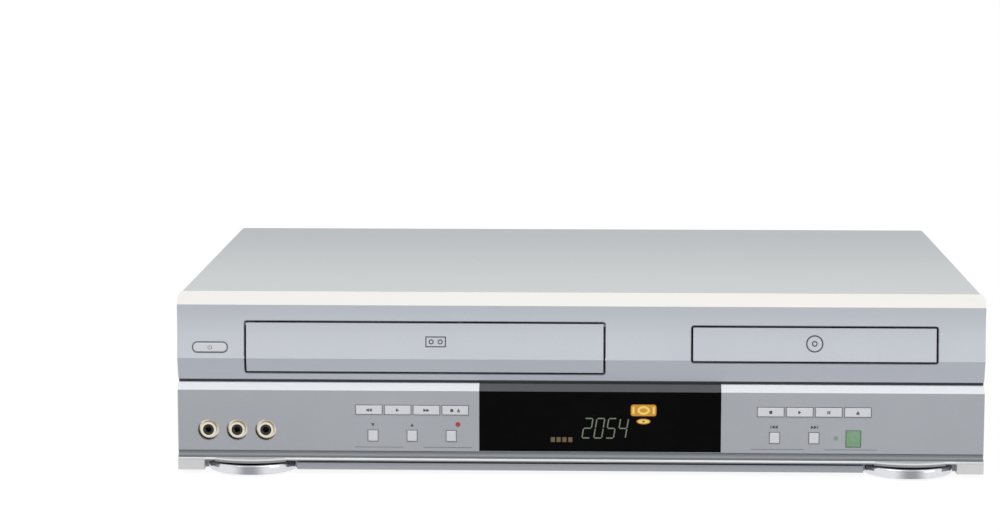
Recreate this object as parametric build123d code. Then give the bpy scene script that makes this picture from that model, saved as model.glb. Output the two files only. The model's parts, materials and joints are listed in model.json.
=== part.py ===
"""Combined disc player and video cassette recorder, full-width hi-fi format.

A folded steel cover and a moulded base close round a cassette deck on the left and a disc
loader on the right. The front is one carrying moulding with a silver fascia, a smoked
display window and fifteen keys. Millimetres, +Z up, front towards -Y, origin on the
standing surface below the middle of the object.
"""
import math
import os

from build123d import *

# ---------------------------------------------------------------- driving dimensions
WIDTH = 430.0  # front moulding, side to side
HEIGHT = 98.0  # standing surface to the top of the cover
DEPTH = 297.0  # front of the feet to the ends of the antenna sockets
FOOT_REACH = 9.0  # front feet stand this far in front of the fascia
SOCKET_REACH = 9.0  # antenna sockets stand this far behind the cover

FACE = -DEPTH / 2 + FOOT_REACH  # Y of the fascia's front face
REAR = DEPTH / 2 - SOCKET_REACH  # Y of the cover's back edge

RUN_GAP = 0.3  # clearance between pieces that move past each other
PIN_PLAY = 0.08  # radial play of a pin in its hole

# ---------------------------------------------------------------- sheet metal and moulded walls
SHEET = 1.0  # cover, folded steel
COVER_BEND = 2.6  # outer bend radius of the cover
COVER_INSET = 1.0  # cover is this much narrower than the front, each side
COVER_BOTTOM = 6.0
REAR_SHEET = 1.2
REAR_LIP = 9.0  # height of the cover's folded rear lip
MOULD_WALL = 2.5  # front moulding
BASE_FLOOR = 7.0  # underside of the base
BASE_WALL = 1.5
BASE_SIDE = 21.0  # height of the base's side walls
SCREW_BOSS = 6.0  # depth of the bosses behind the side walls

COVER_HALF = WIDTH / 2 - COVER_INSET
INSIDE_HALF = COVER_HALF - SHEET  # inner face of the cover's sides
BASE_TOP = BASE_FLOOR + BASE_WALL

# ---------------------------------------------------------------- front profile, depths behind FACE
BEZEL_DEPTH = 16.0
BRIGHT_TOP_Y = 7.0  # cover meets the bright sloping strip here
BRIGHT_FOOT_Y = 1.8
BRIGHT_DROP = 6.5
RIDGE_Z = 62.8  # the upper front comes furthest forward here
SCOOP = 0.6  # hollow of the upper front between strip and ridge
UNDERCUT = 3.6  # the upper front falls back this far below the ridge
UPPER_BOTTOM = 51.0
BACK_WALL_Y = 6.0  # recessed wall that carries the fascia
CORNER_ROUND = 3.2

FASCIA_TOP = 49.2
FASCIA_SLOPE = 3.6
FASCIA_WALL = 2.4
STEP_Z = 12.9  # foot of the flat face
STEP_BACK = 0.8
LEDGE_TOP = 9.2
LEDGE_BOTTOM = 7.4
LEDGE_OUT = 2.0
SKIRT_TOP = 6.2
SKIRT_BOTTOM = 2.5
SKIRT_Y = 0.5

# ---------------------------------------------------------------- cassette and disc doors
PANEL_GAP = 1.0  # shadow gap round the cassette door and the tray lid
CASSETTE_X = -WIDTH / 2 + 132.3
CASSETTE_WIDTH = 189.0
CASSETTE_OPENING = CASSETTE_WIDTH + 3.6
CASSETTE_SILL = 54.5
CASSETTE_HEAD = 82.8
DOOR_WALL = 2.2
DOOR_PIN = 1.1
DOOR_PIN_LENGTH = 3.4
DOOR_HINGE_DROP = 0.9  # hinge axis below the door's top edge
DOOR_HINGE_BACK = 2.9  # hinge axis behind the door's front face

DISC_X = 0.29 * WIDTH
DISC_RADIUS = 60.5
TRAY_WIDTH = 2 * DISC_RADIUS + 3.0
DISC_OPENING = TRAY_WIDTH + 6.7
DISC_SILL = 61.5
DISC_HEAD = 81.2
LID_WALL = 2.4

# ---------------------------------------------------------------- keys
KEY_PROUD = 0.7
KEY_TRAVEL = 0.5
KEY_FLANGE = 1.0
KEY_FLANGE_OVER = 0.5
KEY_EDGE = 0.4  # bevel of the key caps
KEY_PITCH = 15.4
KEY_WIDTH = 14.0
KEY_HEIGHT = 4.9
KEY_ROW_Z = 35.2
SMALL_PITCH = 20.95
SMALL_KEY_WIDTH = 5.2
SMALL_KEY_HEIGHT = 5.8
SMALL_ROW_Z = 21.2
LIT_KEY_WIDTH = 7.6
LIT_KEY_HEIGHT = 8.6
WINDOW_X = 11.0
WINDOW_WIDTH = 129.0
CASSETTE_KEYS_X = WINDOW_X - WINDOW_WIDTH / 2 - 35.9
DISC_KEYS_X = WINDOW_X + WINDOW_WIDTH / 2 + 49.4
POWER_X = -WIDTH / 2 + 17.6
POWER_Z = 68.6
POWER_WIDTH = 18.0
POWER_HEIGHT = 4.9
POWER_CORNER = 2.2
LAMP_OFFSET = 9.2  # status lamp to the left of the lit key
LAMP_RADIUS = 1.1

# ---------------------------------------------------------------- front electronics
WINDOW_BOTTOM = 13.1
WINDOW_WALL = 2.2
BOARD = 1.6
FRONT_BOARD_Y = 12.0
FRONT_BOARD_BOTTOM = 12.0
FRONT_BOARD_TOP = 46.0
FRONT_BOARD_RIGHT = DISC_KEYS_X + 43.0
FRONT_BOARD_LEFT = -WIDTH / 2 + 6.0
POWER_TOWER_WIDTH = 25.0
POWER_TOWER_TOP = 76.0
SWITCH_SIZE = 6.0
SWITCH_BODY = 1.6
SWITCH_BUTTON = 1.6
TUBE_WIDTH = WINDOW_WIDTH - 17.0
TUBE_HEIGHT = 26.0
TUBE_Z = 30.0
TUBE_THICK = 6.0

# ---------------------------------------------------------------- phono jacks
JACK_SHELL = 4.15
JACK_SHELL_BORE = 3.0
JACK_PIN_BORE = 1.65
JACK_HOLE = 5.65
JACK_PITCH = 15.4
FRONT_JACK_X = -WIDTH / 2 + 31.6
FRONT_JACK_Z = 23.8
FRONT_JACK_NOSE = 0.8  # shell's mouth behind the fascia's face
JACK_CORE_RECESS = 0.7

# ---------------------------------------------------------------- rear connectors
REAR_PITCH_X = 14.0
REAR_PITCH_Z = 15.0
REAR_JACK_Z = 32.0
LINE_JACK_X = -20.0
REAR_JACK_OUT = 8.0
REAR_BLOCK_DEPTH = 16.0
ANTENNA_X = -WIDTH / 2 + 65.0
ANTENNA_PITCH = 22.0
ANTENNA_Z = 40.0
ANTENNA_RADIUS = 4.76
ANTENNA_NUT = 1.6
ANTENNA_BORE = 0.9
TUNER_DEPTH = 30.0
SVIDEO_X = 82.0
SVIDEO_RADIUS = 4.75
SVIDEO_DEPTH = 5.0
INLET_X = WIDTH / 2 - 35.0
INLET_Z = 34.0
INLET_WIDTH = 16.0
INLET_HEIGHT = 8.4
INLET_DEPTH = 12.0
INLET_PIN = 1.2
INLET_PIN_PITCH = 8.6

# ---------------------------------------------------------------- feet
FOOT_X = WIDTH / 2 - 39.0
FOOT_RADIUS = 24.6
RING_WALL = 2.0
RING_BOTTOM = 1.0
RING_TOP = 6.2
PAD_RADIUS = 17.0
PAD_DEPTH = 1.6
REAR_FOOT_RADIUS = 11.0
REAR_FOOT_Y = REAR - 34.5
BULGE_HALF = 19.0
BULGE_OUT = 5.0
FOOT_Y = -DEPTH / 2 + FOOT_RADIUS

# ---------------------------------------------------------------- cassette deck
DECK_Z = 22.0
DECK_SHEET = 1.6
DECK_FRONT = FACE + 31.0
DECK_BACK = REAR - 35.0
CASSETTE_DEPTH = 104.0
CASSETTE_THICK = 25.6
HOLDER_SHEET = 1.0
HOLDER_FRONT = FACE + 33.0
HOLDER_FLOOR_Z = 56.4
HOLDER_DROP = 25.0
HOLDER_FEED = 24.0
HOLDER_FLOOR_DEPTH = 76.0
GUIDE_PIN = 1.6
SLEDGE_SHEET = 1.0
SLEDGE_HEIGHT = 34.0
FRAME_SHEET = 1.2
HOLDER_PLAY = HOLDER_SHEET + SLEDGE_SHEET + 2 * RUN_GAP  # side frames stand this far out
DECK_HALF = CASSETTE_WIDTH / 2 + HOLDER_PLAY + FRAME_SHEET
REEL_SPAN = 92.0
REEL_BACK = 108.0  # reel centres behind FACE
REEL_RADIUS = 24.0
REEL_SPINDLE = 7.0
DRUM_X = CASSETTE_X - 12.3
DRUM_BACK = 198.0
DRUM_RADIUS = 31.0
DRUM_TILT = -5.9
DRUM_SPLIT_Z = 47.0
CAPSTAN_X = CASSETTE_X + 62.7
CAPSTAN_BACK = 190.0
CAPSTAN_RADIUS = 2.0
FLYWHEEL_RADIUS = 26.0
CLUTCH_BACK = 104.0
CLUTCH_RADIUS = 14.0
CAPSTAN_PULLEY = 9.0
BELT_THICK = 1.0
BELT_WIDTH = 3.0
BELT_Z = 14.0
GUIDE_START = (26.0, 152.0)  # from the drum's X, and behind FACE
GUIDE_END = (42.0, 208.0)
PINCH_PIVOT_X = CASSETTE_X + 86.7
PINCH_PIVOT_BACK = 204.0
PINCH_RADIUS = 6.2

# ---------------------------------------------------------------- disc loader
LOADER_HALF = TRAY_WIDTH / 2 + 11.0
LOADER_FRONT = FACE + 18.0
LOADER_BACK = FACE + 186.0
LOADER_BOTTOM = 50.0
LOADER_TOP = 90.0
LOADER_WALL = 2.0
TRAY_FRONT = FACE + 5.4
TRAY_LENGTH = 162.0
TRAY_BOTTOM = 66.0
TRAY_THICK = 6.0
TRAY_TRAVEL = 135.0
SMALL_DISC_RADIUS = 40.5
DISC_RECESS = 2.2
DISC_BACK = 70.0  # disc centre behind the tray's front edge
TRAY_SLOT = 42.0
RACK_MODULE = 1.0
RACK_HEIGHT = 3.4
GEAR_TEETH = 24
GEAR_BACK = 28.0
LEAD_TEETH = 2  # teeth in front of the gear when the tray is shut
GEAR_MOTOR_RADIUS = 7.5
GEAR_MOTOR_OFFSET = 16.0
BACKLASH = 0.35
TURNTABLE_RADIUS = 14.0
TURNTABLE_TOP = 65.4
TRAVERSE_PIVOT_BACK = 166.0
TRAVERSE_Z = 52.6
PICKUP_START = 22.5  # pickup's front edge behind the spindle
PICKUP_TRAVEL = 34.0
PICKUP_LENGTH = 22.0
ROD_RADIUS = 1.5
ROD_SPAN = 44.0
SCREW_RADIUS = 1.4
SCREW_PITCH = 3.0
CLAMPER_RADIUS = 15.0
CLAMPER_BOTTOM = 72.9
BRIDGE_Z = 84.0

# ---------------------------------------------------------------- boards and power supply
BOARD_Z = 11.0
BOARD_GAP = 6.0
POWER_BOARD_LEFT = 58.0


# ---------------------------------------------------------------- shape helpers
def block(x0, x1, y0, y1, z0, z1):
    """Box between two corners."""
    return Pos((x0 + x1) / 2, (y0 + y1) / 2, (z0 + z1) / 2) * Box(x1 - x0, y1 - y0, z1 - z0)


def post(radius, x, y, z0, z1):
    """Upright cylinder."""
    return Pos(x, y, (z0 + z1) / 2) * Cylinder(radius, z1 - z0)


def rod_y(radius, x, z, y0, y1):
    """Cylinder lying front to back."""
    return Pos(x, (y0 + y1) / 2, z) * Rot(90, 0, 0) * Cylinder(radius, y1 - y0)


def rod_x(radius, y, z, x0, x1):
    """Cylinder lying side to side."""
    return Pos((x0 + x1) / 2, y, z) * Rot(0, 90, 0) * Cylinder(radius, x1 - x0)


def along_x(outline, x0, x1):
    """Extrudes a closed outline of (Y, Z) edges from x0 to x1."""
    return extrude(Plane.YZ.offset(x0) * make_face(outline), amount=x1 - x0)


def upright(outline, z0, z1):
    """Extrudes a closed outline of (X, Y) edges from z0 to z1."""
    return extrude(Plane.XY.offset(z0) * make_face(outline), amount=z1 - z0)


def closed(points):
    """Closed polygon through the points."""
    return Polyline(*points, close=True)


def joined(solids):
    """One body from solids that overlap or touch."""
    whole = solids[0]
    for piece in solids[1:]:
        whole = whole + piece
    return whole


def group(solids):
    """Separate solids that share one node."""
    return Compound(children=[solid for shape in solids for solid in shape.solids()])


def row(centre, pitch, count):
    """Evenly spaced positions about a centre."""
    return [centre + pitch * (i - (count - 1) / 2) for i in range(count)]


# ---------------------------------------------------------------- front moulding
def upper_profile(inset, back):
    """Closed outline of the upper front, moved inwards by inset and closed at the depth back."""
    head = HEIGHT - SHEET - 0.2 - inset
    top = HEIGHT - inset
    strip_foot = (FACE + BRIGHT_FOOT_Y + inset, HEIGHT - BRIGHT_DROP - inset * 0.45)
    ridge = (FACE + inset, RIDGE_Z)
    hollow_y = (strip_foot[0] + ridge[0]) / 2 + SCOOP
    heel = (FACE + UNDERCUT + inset, UPPER_BOTTOM)
    return [
        Line((back, UPPER_BOTTOM), (back, head)),
        Line((back, head), (FACE + BRIGHT_TOP_Y, head)),
        Line((FACE + BRIGHT_TOP_Y, head), (FACE + BRIGHT_TOP_Y, top)),
        Line((FACE + BRIGHT_TOP_Y, top), strip_foot),
        ThreePointArc(strip_foot, (hollow_y, (strip_foot[1] + ridge[1]) / 2), ridge),
        Line(ridge, heel),
        Line(heel, (back, UPPER_BOTTOM)),
    ]


def front_skin(thickness, x0, x1, z0, z1):
    """Part of the upper front's skin, as thick as asked, between the given edges."""
    outer = along_x(upper_profile(0.0, FACE + BEZEL_DEPTH), x0, x1)
    inner = Pos(0, thickness, 0) * outer
    window = block(x0, x1, FACE - 1, FACE + BRIGHT_TOP_Y, z0, z1)
    return (outer - inner) & window


def cassette_span(margin=0.0):
    half = CASSETTE_OPENING / 2 - margin
    return CASSETTE_X - half, CASSETTE_X + half


def disc_span(margin=0.0):
    half = DISC_OPENING / 2 - margin
    return DISC_X - half, DISC_X + half


def door_axis():
    """Hinge axis of the cassette door as (Y, Z)."""
    top = CASSETTE_HEAD - PANEL_GAP
    return FACE + skin_depth(top) + DOOR_HINGE_BACK, top - DOOR_HINGE_DROP


def front_bezel():
    """Carrying moulding: upper front, recessed wall behind the fascia, skirt and door ears."""
    half = WIDTH / 2
    back = FACE + BEZEL_DEPTH
    body = along_x(upper_profile(0.0, back), -half, half)
    hollow = along_x(upper_profile(MOULD_WALL, back), -half + MOULD_WALL, half - MOULD_WALL)
    body = body - (hollow & block(-half, half, FACE, back, UPPER_BOTTOM + MOULD_WALL, HEIGHT))
    wall = block(-half, half, FACE + BACK_WALL_Y, back, SKIRT_BOTTOM, UPPER_BOTTOM + MOULD_WALL)
    cavity_half = half - MOULD_WALL
    cavity_front = FACE + BACK_WALL_Y + MOULD_WALL
    wall = wall - block(-cavity_half, cavity_half, cavity_front, back,
                        SKIRT_BOTTOM + MOULD_WALL, UPPER_BOTTOM + MOULD_WALL)
    skirt_half = FOOT_X - FOOT_RADIUS
    skirt = block(-skirt_half, skirt_half, FACE + SKIRT_Y, FACE + BACK_WALL_Y,
                  SKIRT_BOTTOM, SKIRT_TOP)
    body = body + wall + skirt
    body = body + cassette_surround() + door_ears()
    body = body - block(*cassette_span(), FACE - 1, FACE + DOOR_WALL + 6, CASSETTE_SILL, CASSETTE_HEAD)
    body = body - block(*disc_span(), FACE - 1, back + 1, DISC_SILL, DISC_HEAD)
    body = body - rounded_bar(POWER_X, POWER_Z, POWER_WIDTH + 2 * RUN_GAP, POWER_HEIGHT + 2 * RUN_GAP,
                              POWER_CORNER + RUN_GAP, FACE - 1, back + 1)
    body = body - lower_wall_openings() - board_tower_slot() - cover_seat()
    body = body & front_outline()
    for x in (-FOOT_X, FOOT_X):
        body = body - post(FOOT_RADIUS + 0.6, x, FOOT_Y, 0, BASE_FLOOR + 0.2)
    axis_y, axis_z = door_axis()
    pin_reach = CASSETTE_OPENING / 2 + DOOR_PIN_LENGTH
    pins = rod_x(DOOR_PIN + PIN_PLAY, axis_y, axis_z, CASSETTE_X - pin_reach, CASSETTE_X + pin_reach)
    return body - pins


def front_outline():
    """Front view of the whole moulding, its upper corners rounded, as a solid from front to back."""
    half = WIDTH / 2
    slab = block(-half, half, FACE - 1, HOLDER_FRONT, 0, HEIGHT)
    return fillet(slab.edges().filter_by(Axis.Y).group_by(Axis.Z)[-1], CORNER_ROUND)


def cover_seat():
    """Rebate of the moulding's shoulders, where the cover's bent corners pass over them."""
    y0 = FACE + BRIGHT_TOP_Y
    y1 = FACE + BEZEL_DEPTH + 1
    z0 = cover_shoulder() - 0.3
    seat_half = INSIDE_HALF - COVER_BEND + SHEET
    left = block(-WIDTH, -seat_half, y0, y1, z0, HEIGHT + 1)
    return left + block(seat_half, WIDTH, y0, y1, z0, HEIGHT + 1)


def cover_shoulder():
    """Height above which the cover reaches forward over the moulding."""
    return HEIGHT - COVER_BEND - 1.5


def board_tower_slot():
    """Slot in the moulding's cross web for the power switch's board."""
    x1 = FRONT_BOARD_LEFT + POWER_TOWER_WIDTH
    y0 = FACE + FRONT_BOARD_Y
    return block(FRONT_BOARD_LEFT - 0.5, x1 + 0.5, y0 - 0.5, y0 + BOARD + 0.5,
                 UPPER_BOTTOM - 1, UPPER_BOTTOM + MOULD_WALL + 1)


def cassette_surround():
    """Sill that leads a cassette from the door into the holder."""
    x0, x1 = cassette_span()
    sill = block(x0 - 1.5, x1 + 1.5, FACE + UNDERCUT, HOLDER_FRONT - 4,
                 CASSETTE_SILL - 1.8, CASSETTE_SILL)
    ribs = [block(x - 0.8, x + 0.8, FACE + BACK_WALL_Y, HOLDER_FRONT - 6,
                  CASSETTE_SILL - 6, CASSETTE_SILL - 1.8) for x in row(CASSETTE_X, 60.0, 3)]
    return joined([sill] + ribs)


def door_ears():
    """Two ears behind the front that carry the door's hinge pins."""
    axis_y, axis_z = door_axis()
    x0, x1 = cassette_span()
    left = block(x0 - DOOR_PIN_LENGTH - 1, x0, FACE + 2.5, axis_y + 3.2, axis_z - 3.2, axis_z + 3.2)
    right = block(x1, x1 + DOOR_PIN_LENGTH + 1, FACE + 2.5, axis_y + 3.2, axis_z - 3.2, axis_z + 3.2)
    return left + right


def skin_depth(z):
    """How far the upper front lies behind FACE at a height above the ridge."""
    share = (z - RIDGE_Z) / (HEIGHT - BRIGHT_DROP - RIDGE_Z)
    return BRIGHT_FOOT_Y * share + SCOOP * 4 * share * (1 - share)


def rounded_bar(x, z, width, height, corner, y0, y1):
    """Bar from y0 to y1 with a rounded rectangular front view."""
    bar = block(x - width / 2, x + width / 2, y0, y1, z - height / 2, z + height / 2)
    return fillet(bar.edges().filter_by(Axis.Y), corner)


def key_hole(x, z, width, height, y0, y1):
    """Hole that leaves the running gap all round a key."""
    w = width / 2 + RUN_GAP
    h = height / 2 + RUN_GAP
    return block(x - w, x + w, y0, y1, z - h, z + h)


def lower_wall_openings():
    """Openings of the recessed wall for the key stems, the display tube and the jacks."""
    y0 = FACE + BACK_WALL_Y - 0.5
    y1 = FACE + BACK_WALL_Y + MOULD_WALL + 0.5
    openings = []
    for centre in (CASSETTE_KEYS_X, DISC_KEYS_X):
        openings.append(block(centre - 2 * KEY_PITCH, centre + 2 * KEY_PITCH, y0, y1,
                              SMALL_ROW_Z - 4, KEY_ROW_Z + 4))
    openings.append(block(WINDOW_X - TUBE_WIDTH / 2 - 0.5, WINDOW_X + TUBE_WIDTH / 2 + 0.5, y0, y1,
                          TUBE_Z - TUBE_HEIGHT / 2 - 0.5, TUBE_Z + TUBE_HEIGHT / 2 + 0.5))
    jack_half = JACK_PITCH + JACK_HOLE
    openings.append(block(FRONT_JACK_X - jack_half, FRONT_JACK_X + jack_half, y0, y1,
                          FRONT_JACK_Z - JACK_HOLE, FRONT_JACK_Z + JACK_HOLE))
    return joined(openings)


def fascia_profile(rear_y):
    """Closed outline of the silver lower fascia."""
    slope_foot = (FACE, FASCIA_TOP - FASCIA_SLOPE)
    step = (FACE + STEP_BACK, STEP_Z - 0.5)
    ledge = (FACE - LEDGE_OUT, LEDGE_TOP)
    cove = (FACE + STEP_BACK - 0.6, (step[1] + ledge[1]) / 2 - 0.5)
    nose = (FACE - LEDGE_OUT - 0.2, (LEDGE_TOP + LEDGE_BOTTOM) / 2)
    heel = (FACE - LEDGE_OUT + 0.6, LEDGE_BOTTOM)
    return [
        Line((rear_y, FASCIA_TOP), (FACE + FASCIA_SLOPE, FASCIA_TOP)),
        Line((FACE + FASCIA_SLOPE, FASCIA_TOP), slope_foot),
        Line(slope_foot, (FACE, STEP_Z)),
        Line((FACE, STEP_Z), step),
        ThreePointArc(step, cove, ledge),
        ThreePointArc(ledge, nose, heel),
        Line(heel, (rear_y, LEDGE_BOTTOM)),
        Line((rear_y, LEDGE_BOTTOM), (rear_y, FASCIA_TOP)),
    ]


def lower_fascia():
    """Silver trim of the lower front, with the ledge, its two bulges and the corner blocks."""
    half = WIDTH / 2
    seat = FACE + BACK_WALL_Y
    body = along_x(fascia_profile(seat), -half, half)
    slope_inner = FASCIA_TOP - FASCIA_WALL
    hollow = closed([
        (FACE + FASCIA_SLOPE + FASCIA_WALL * 0.6, slope_inner),
        (FACE + FASCIA_WALL, slope_inner - FASCIA_SLOPE + FASCIA_WALL * 0.6),
        (FACE + FASCIA_WALL, LEDGE_TOP + 0.4),
        (seat, LEDGE_TOP + 0.4),
        (seat, slope_inner),
    ])
    body = body - along_x(hollow, -half + FASCIA_WALL, half - FASCIA_WALL)
    for side in (-1, 1):
        body = body + ledge_bulge(side * FOOT_X)
        inner = side * (FOOT_X + FOOT_RADIUS + 0.3)
        outer = side * half
        body = body + block(min(inner, outer), max(inner, outer), FACE - LEDGE_OUT, seat,
                            SKIRT_BOTTOM, LEDGE_TOP)
    w0 = WINDOW_X - WINDOW_WIDTH / 2
    w1 = WINDOW_X + WINDOW_WIDTH / 2
    body = body - block(w0, w1, FACE - 1, seat + 1, WINDOW_BOTTOM, FASCIA_TOP + 1)
    for x, z, width, height in key_places():
        body = body - key_hole(x, z, width, height, FACE - 1, seat)
    for x in row(FRONT_JACK_X, JACK_PITCH, 3):
        body = body - rod_y(JACK_HOLE, x, FRONT_JACK_Z, FACE - 1, seat)
    return body - rod_y(LAMP_RADIUS, lamp_x(), SMALL_ROW_Z, FACE - 1, seat)


def ledge_bulge(x):
    """The ledge swells forward over a foot."""
    y = FACE - LEDGE_OUT
    outline = [
        ThreePointArc((x - BULGE_HALF, y), (x, y - BULGE_OUT), (x + BULGE_HALF, y)),
        Line((x + BULGE_HALF, y), (x + BULGE_HALF, y + 2)),
        Line((x + BULGE_HALF, y + 2), (x - BULGE_HALF, y + 2)),
        Line((x - BULGE_HALF, y + 2), (x - BULGE_HALF, y)),
    ]
    return upright(outline, LEDGE_BOTTOM - 0.4, LEDGE_TOP)


def display_window():
    """Smoked window that follows the fascia's slope and face."""
    seat = FACE + BACK_WALL_Y
    gap = 0.1
    outer = [
        (seat, FASCIA_TOP - gap),
        (FACE + FASCIA_SLOPE, FASCIA_TOP - gap),
        (FACE + gap, FASCIA_TOP - FASCIA_SLOPE),
        (FACE + gap, WINDOW_BOTTOM + gap),
        (FACE + WINDOW_WALL, WINDOW_BOTTOM + gap),
        (FACE + WINDOW_WALL, FASCIA_TOP - FASCIA_SLOPE - WINDOW_WALL * 0.4),
        (FACE + FASCIA_SLOPE + WINDOW_WALL * 0.6, FASCIA_TOP - WINDOW_WALL),
        (seat, FASCIA_TOP - WINDOW_WALL),
    ]
    half = WINDOW_WIDTH / 2 - gap
    lens = along_x(closed(outer), WINDOW_X - half, WINDOW_X + half)
    legs = [block(x - 0.8, x + 0.8, FACE + WINDOW_WALL, seat, WINDOW_BOTTOM + gap, FASCIA_TOP - 8)
            for x in (WINDOW_X - half + 0.8, WINDOW_X + half - 0.8)]
    return joined([lens] + legs)


# ---------------------------------------------------------------- doors
def cassette_door():
    """Inward flap with two hinge pins and a stiffening frame."""
    x0, x1 = cassette_span(PANEL_GAP)
    bottom = CASSETTE_SILL + PANEL_GAP
    top = CASSETTE_HEAD - PANEL_GAP
    skin = front_skin(DOOR_WALL, x0, x1, bottom, top)
    axis_y, axis_z = door_axis()
    ribs = [block(x - 0.7, x + 0.7, FACE + 1.9, axis_y + 1.0, bottom + 6, axis_z)
            for x in (x0 + 3, CASSETTE_X, x1 - 3)]
    reach = CASSETTE_OPENING / 2 + DOOR_PIN_LENGTH - RUN_GAP
    pins = [rod_x(DOOR_PIN, axis_y, axis_z, CASSETTE_X - reach, x0 + 3),
            rod_x(DOOR_PIN, axis_y, axis_z, x1 - 3, CASSETTE_X + reach)]
    return joined([skin] + ribs + pins)


def tray_lid():
    """Lid that closes the disc opening and clips to the front of the tray."""
    x0, x1 = disc_span(PANEL_GAP)
    bottom = DISC_SILL + PANEL_GAP
    top = DISC_HEAD - PANEL_GAP
    skin = front_skin(LID_WALL, x0, x1, bottom, top)
    flange = block(x0 + 4, x1 - 4, FACE + 1.8, TRAY_FRONT, TRAY_BOTTOM, TRAY_BOTTOM + TRAY_THICK)
    ribs = [block(x - 0.8, x + 0.8, FACE + 1.8, TRAY_FRONT - 0.6, bottom + 2, top - 2)
            for x in row(DISC_X, 50.0, 3)]
    return joined([skin, flange] + ribs)


# ---------------------------------------------------------------- keys
def key_places():
    """X, Z, width and height of each key of the fascia, left to right."""
    places = [(x, KEY_ROW_Z, KEY_WIDTH, KEY_HEIGHT) for x in row(CASSETTE_KEYS_X, KEY_PITCH, 4)]
    places += [(x, SMALL_ROW_Z, SMALL_KEY_WIDTH, SMALL_KEY_HEIGHT)
               for x in row(CASSETTE_KEYS_X, SMALL_PITCH, 3)]
    places += [(x, KEY_ROW_Z, KEY_WIDTH, KEY_HEIGHT) for x in row(DISC_KEYS_X, KEY_PITCH, 4)]
    small = row(DISC_KEYS_X, SMALL_PITCH, 3)
    places += [(x, SMALL_ROW_Z, SMALL_KEY_WIDTH, SMALL_KEY_HEIGHT) for x in small[:2]]
    places.append((small[2], SMALL_ROW_Z - 0.3, LIT_KEY_WIDTH, LIT_KEY_HEIGHT))
    return places


def lamp_x():
    return row(DISC_KEYS_X, SMALL_PITCH, 3)[2] - LAMP_OFFSET


def switch_face():
    """Y of the switch buttons that the key stems press."""
    return FACE + FRONT_BOARD_Y - SWITCH_BODY - SWITCH_BUTTON * 0.6


def key(cap, x, z, width, height, flange_y):
    """Key cap with its retaining flange and the stem that reaches its switch."""
    over = KEY_FLANGE_OVER
    flange = block(x - width / 2 - over, x + width / 2 + over, flange_y, flange_y + KEY_FLANGE,
                   z - height / 2 - over, z + height / 2 + over)
    stem = block(x - 1.5, x + 1.5, flange_y, switch_face() - KEY_TRAVEL - 0.15, z - 1.2, z + 1.2)
    return joined([cap, flange, stem])


def fascia_keys():
    flange_y = FACE + FASCIA_WALL + RUN_GAP
    keys = []
    for x, z, width, height in key_places():
        cap = block(x - width / 2, x + width / 2, FACE - KEY_PROUD, flange_y + KEY_FLANGE,
                    z - height / 2, z + height / 2)
        cap = chamfer(cap.faces().sort_by(Axis.Y)[0].edges(), KEY_EDGE)
        keys.append(key(cap, x, z, width, height, flange_y))
    return keys


def power_key():
    """Key in the upper front, whose face leans with the moulding."""
    skin = FACE + skin_depth(POWER_Z)
    flange_top = POWER_Z + POWER_HEIGHT / 2 + KEY_FLANGE_OVER
    flange_y = FACE + skin_depth(flange_top) + MOULD_WALL + RUN_GAP
    cap = rounded_bar(POWER_X, POWER_Z, POWER_WIDTH, POWER_HEIGHT, POWER_CORNER,
                      skin - KEY_PROUD, flange_y + KEY_FLANGE)
    cap = chamfer(cap.faces().sort_by(Axis.Y)[0].edges(), KEY_EDGE)
    return key(cap, POWER_X, POWER_Z, POWER_WIDTH, POWER_HEIGHT, flange_y)


def lamp_lens():
    x = lamp_x()
    pip = rod_y(LAMP_RADIUS - 0.05, x, SMALL_ROW_Z, FACE - 0.1, FACE + FASCIA_WALL + 1)
    light_pipe = rod_y(LAMP_RADIUS + 0.8, x, SMALL_ROW_Z, FACE + FASCIA_WALL, FACE + FRONT_BOARD_Y)
    return pip + light_pipe


# ---------------------------------------------------------------- front electronics
def front_board():
    """Front board, with the power key's small board standing on it."""
    y0 = FACE + FRONT_BOARD_Y
    board = block(FRONT_BOARD_LEFT, FRONT_BOARD_RIGHT, y0, y0 + BOARD, FRONT_BOARD_BOTTOM, FRONT_BOARD_TOP)
    tower = block(FRONT_BOARD_LEFT, FRONT_BOARD_LEFT + POWER_TOWER_WIDTH, y0, y0 + BOARD,
                  FRONT_BOARD_TOP, POWER_TOWER_TOP)
    return [board, tower]


def key_switches():
    """One push switch behind each key."""
    y1 = FACE + FRONT_BOARD_Y
    y0 = y1 - SWITCH_BODY
    half = SWITCH_SIZE / 2
    switches = []
    for x, z in [(POWER_X, POWER_Z)] + [(x, z) for x, z, _, _ in key_places()]:
        body = block(x - half, x + half, y0, y1, z - half, z + half)
        button = block(x - SWITCH_BUTTON, x + SWITCH_BUTTON, switch_face(), y0,
                       z - SWITCH_BUTTON, z + SWITCH_BUTTON)
        switches.append(body + button)
    return switches


def display_tube():
    """Vacuum fluorescent tube: glass envelope, sealing tip and pin comb."""
    y1 = FACE + FRONT_BOARD_Y
    y0 = y1 - TUBE_THICK
    glass = block(WINDOW_X - TUBE_WIDTH / 2, WINDOW_X + TUBE_WIDTH / 2, y0, y1,
                  TUBE_Z - TUBE_HEIGHT / 2, TUBE_Z + TUBE_HEIGHT / 2)
    return chamfer(glass.faces().sort_by(Axis.Y)[0].edges(), 0.8)


# ---------------------------------------------------------------- phono jacks
def jack_places():
    """X, Z, mouth Y and direction (1 to the rear, -1 to the front) of every phono jack."""
    places = [(x, FRONT_JACK_Z, FACE + FRONT_JACK_NOSE, -1) for x in row(FRONT_JACK_X, JACK_PITCH, 3)]
    for x in row(LINE_JACK_X, REAR_PITCH_X, 3):
        places += [(x, z, REAR + REAR_JACK_OUT, 1) for z in row(REAR_JACK_Z, REAR_PITCH_Z, 2)]
    return places


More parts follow.
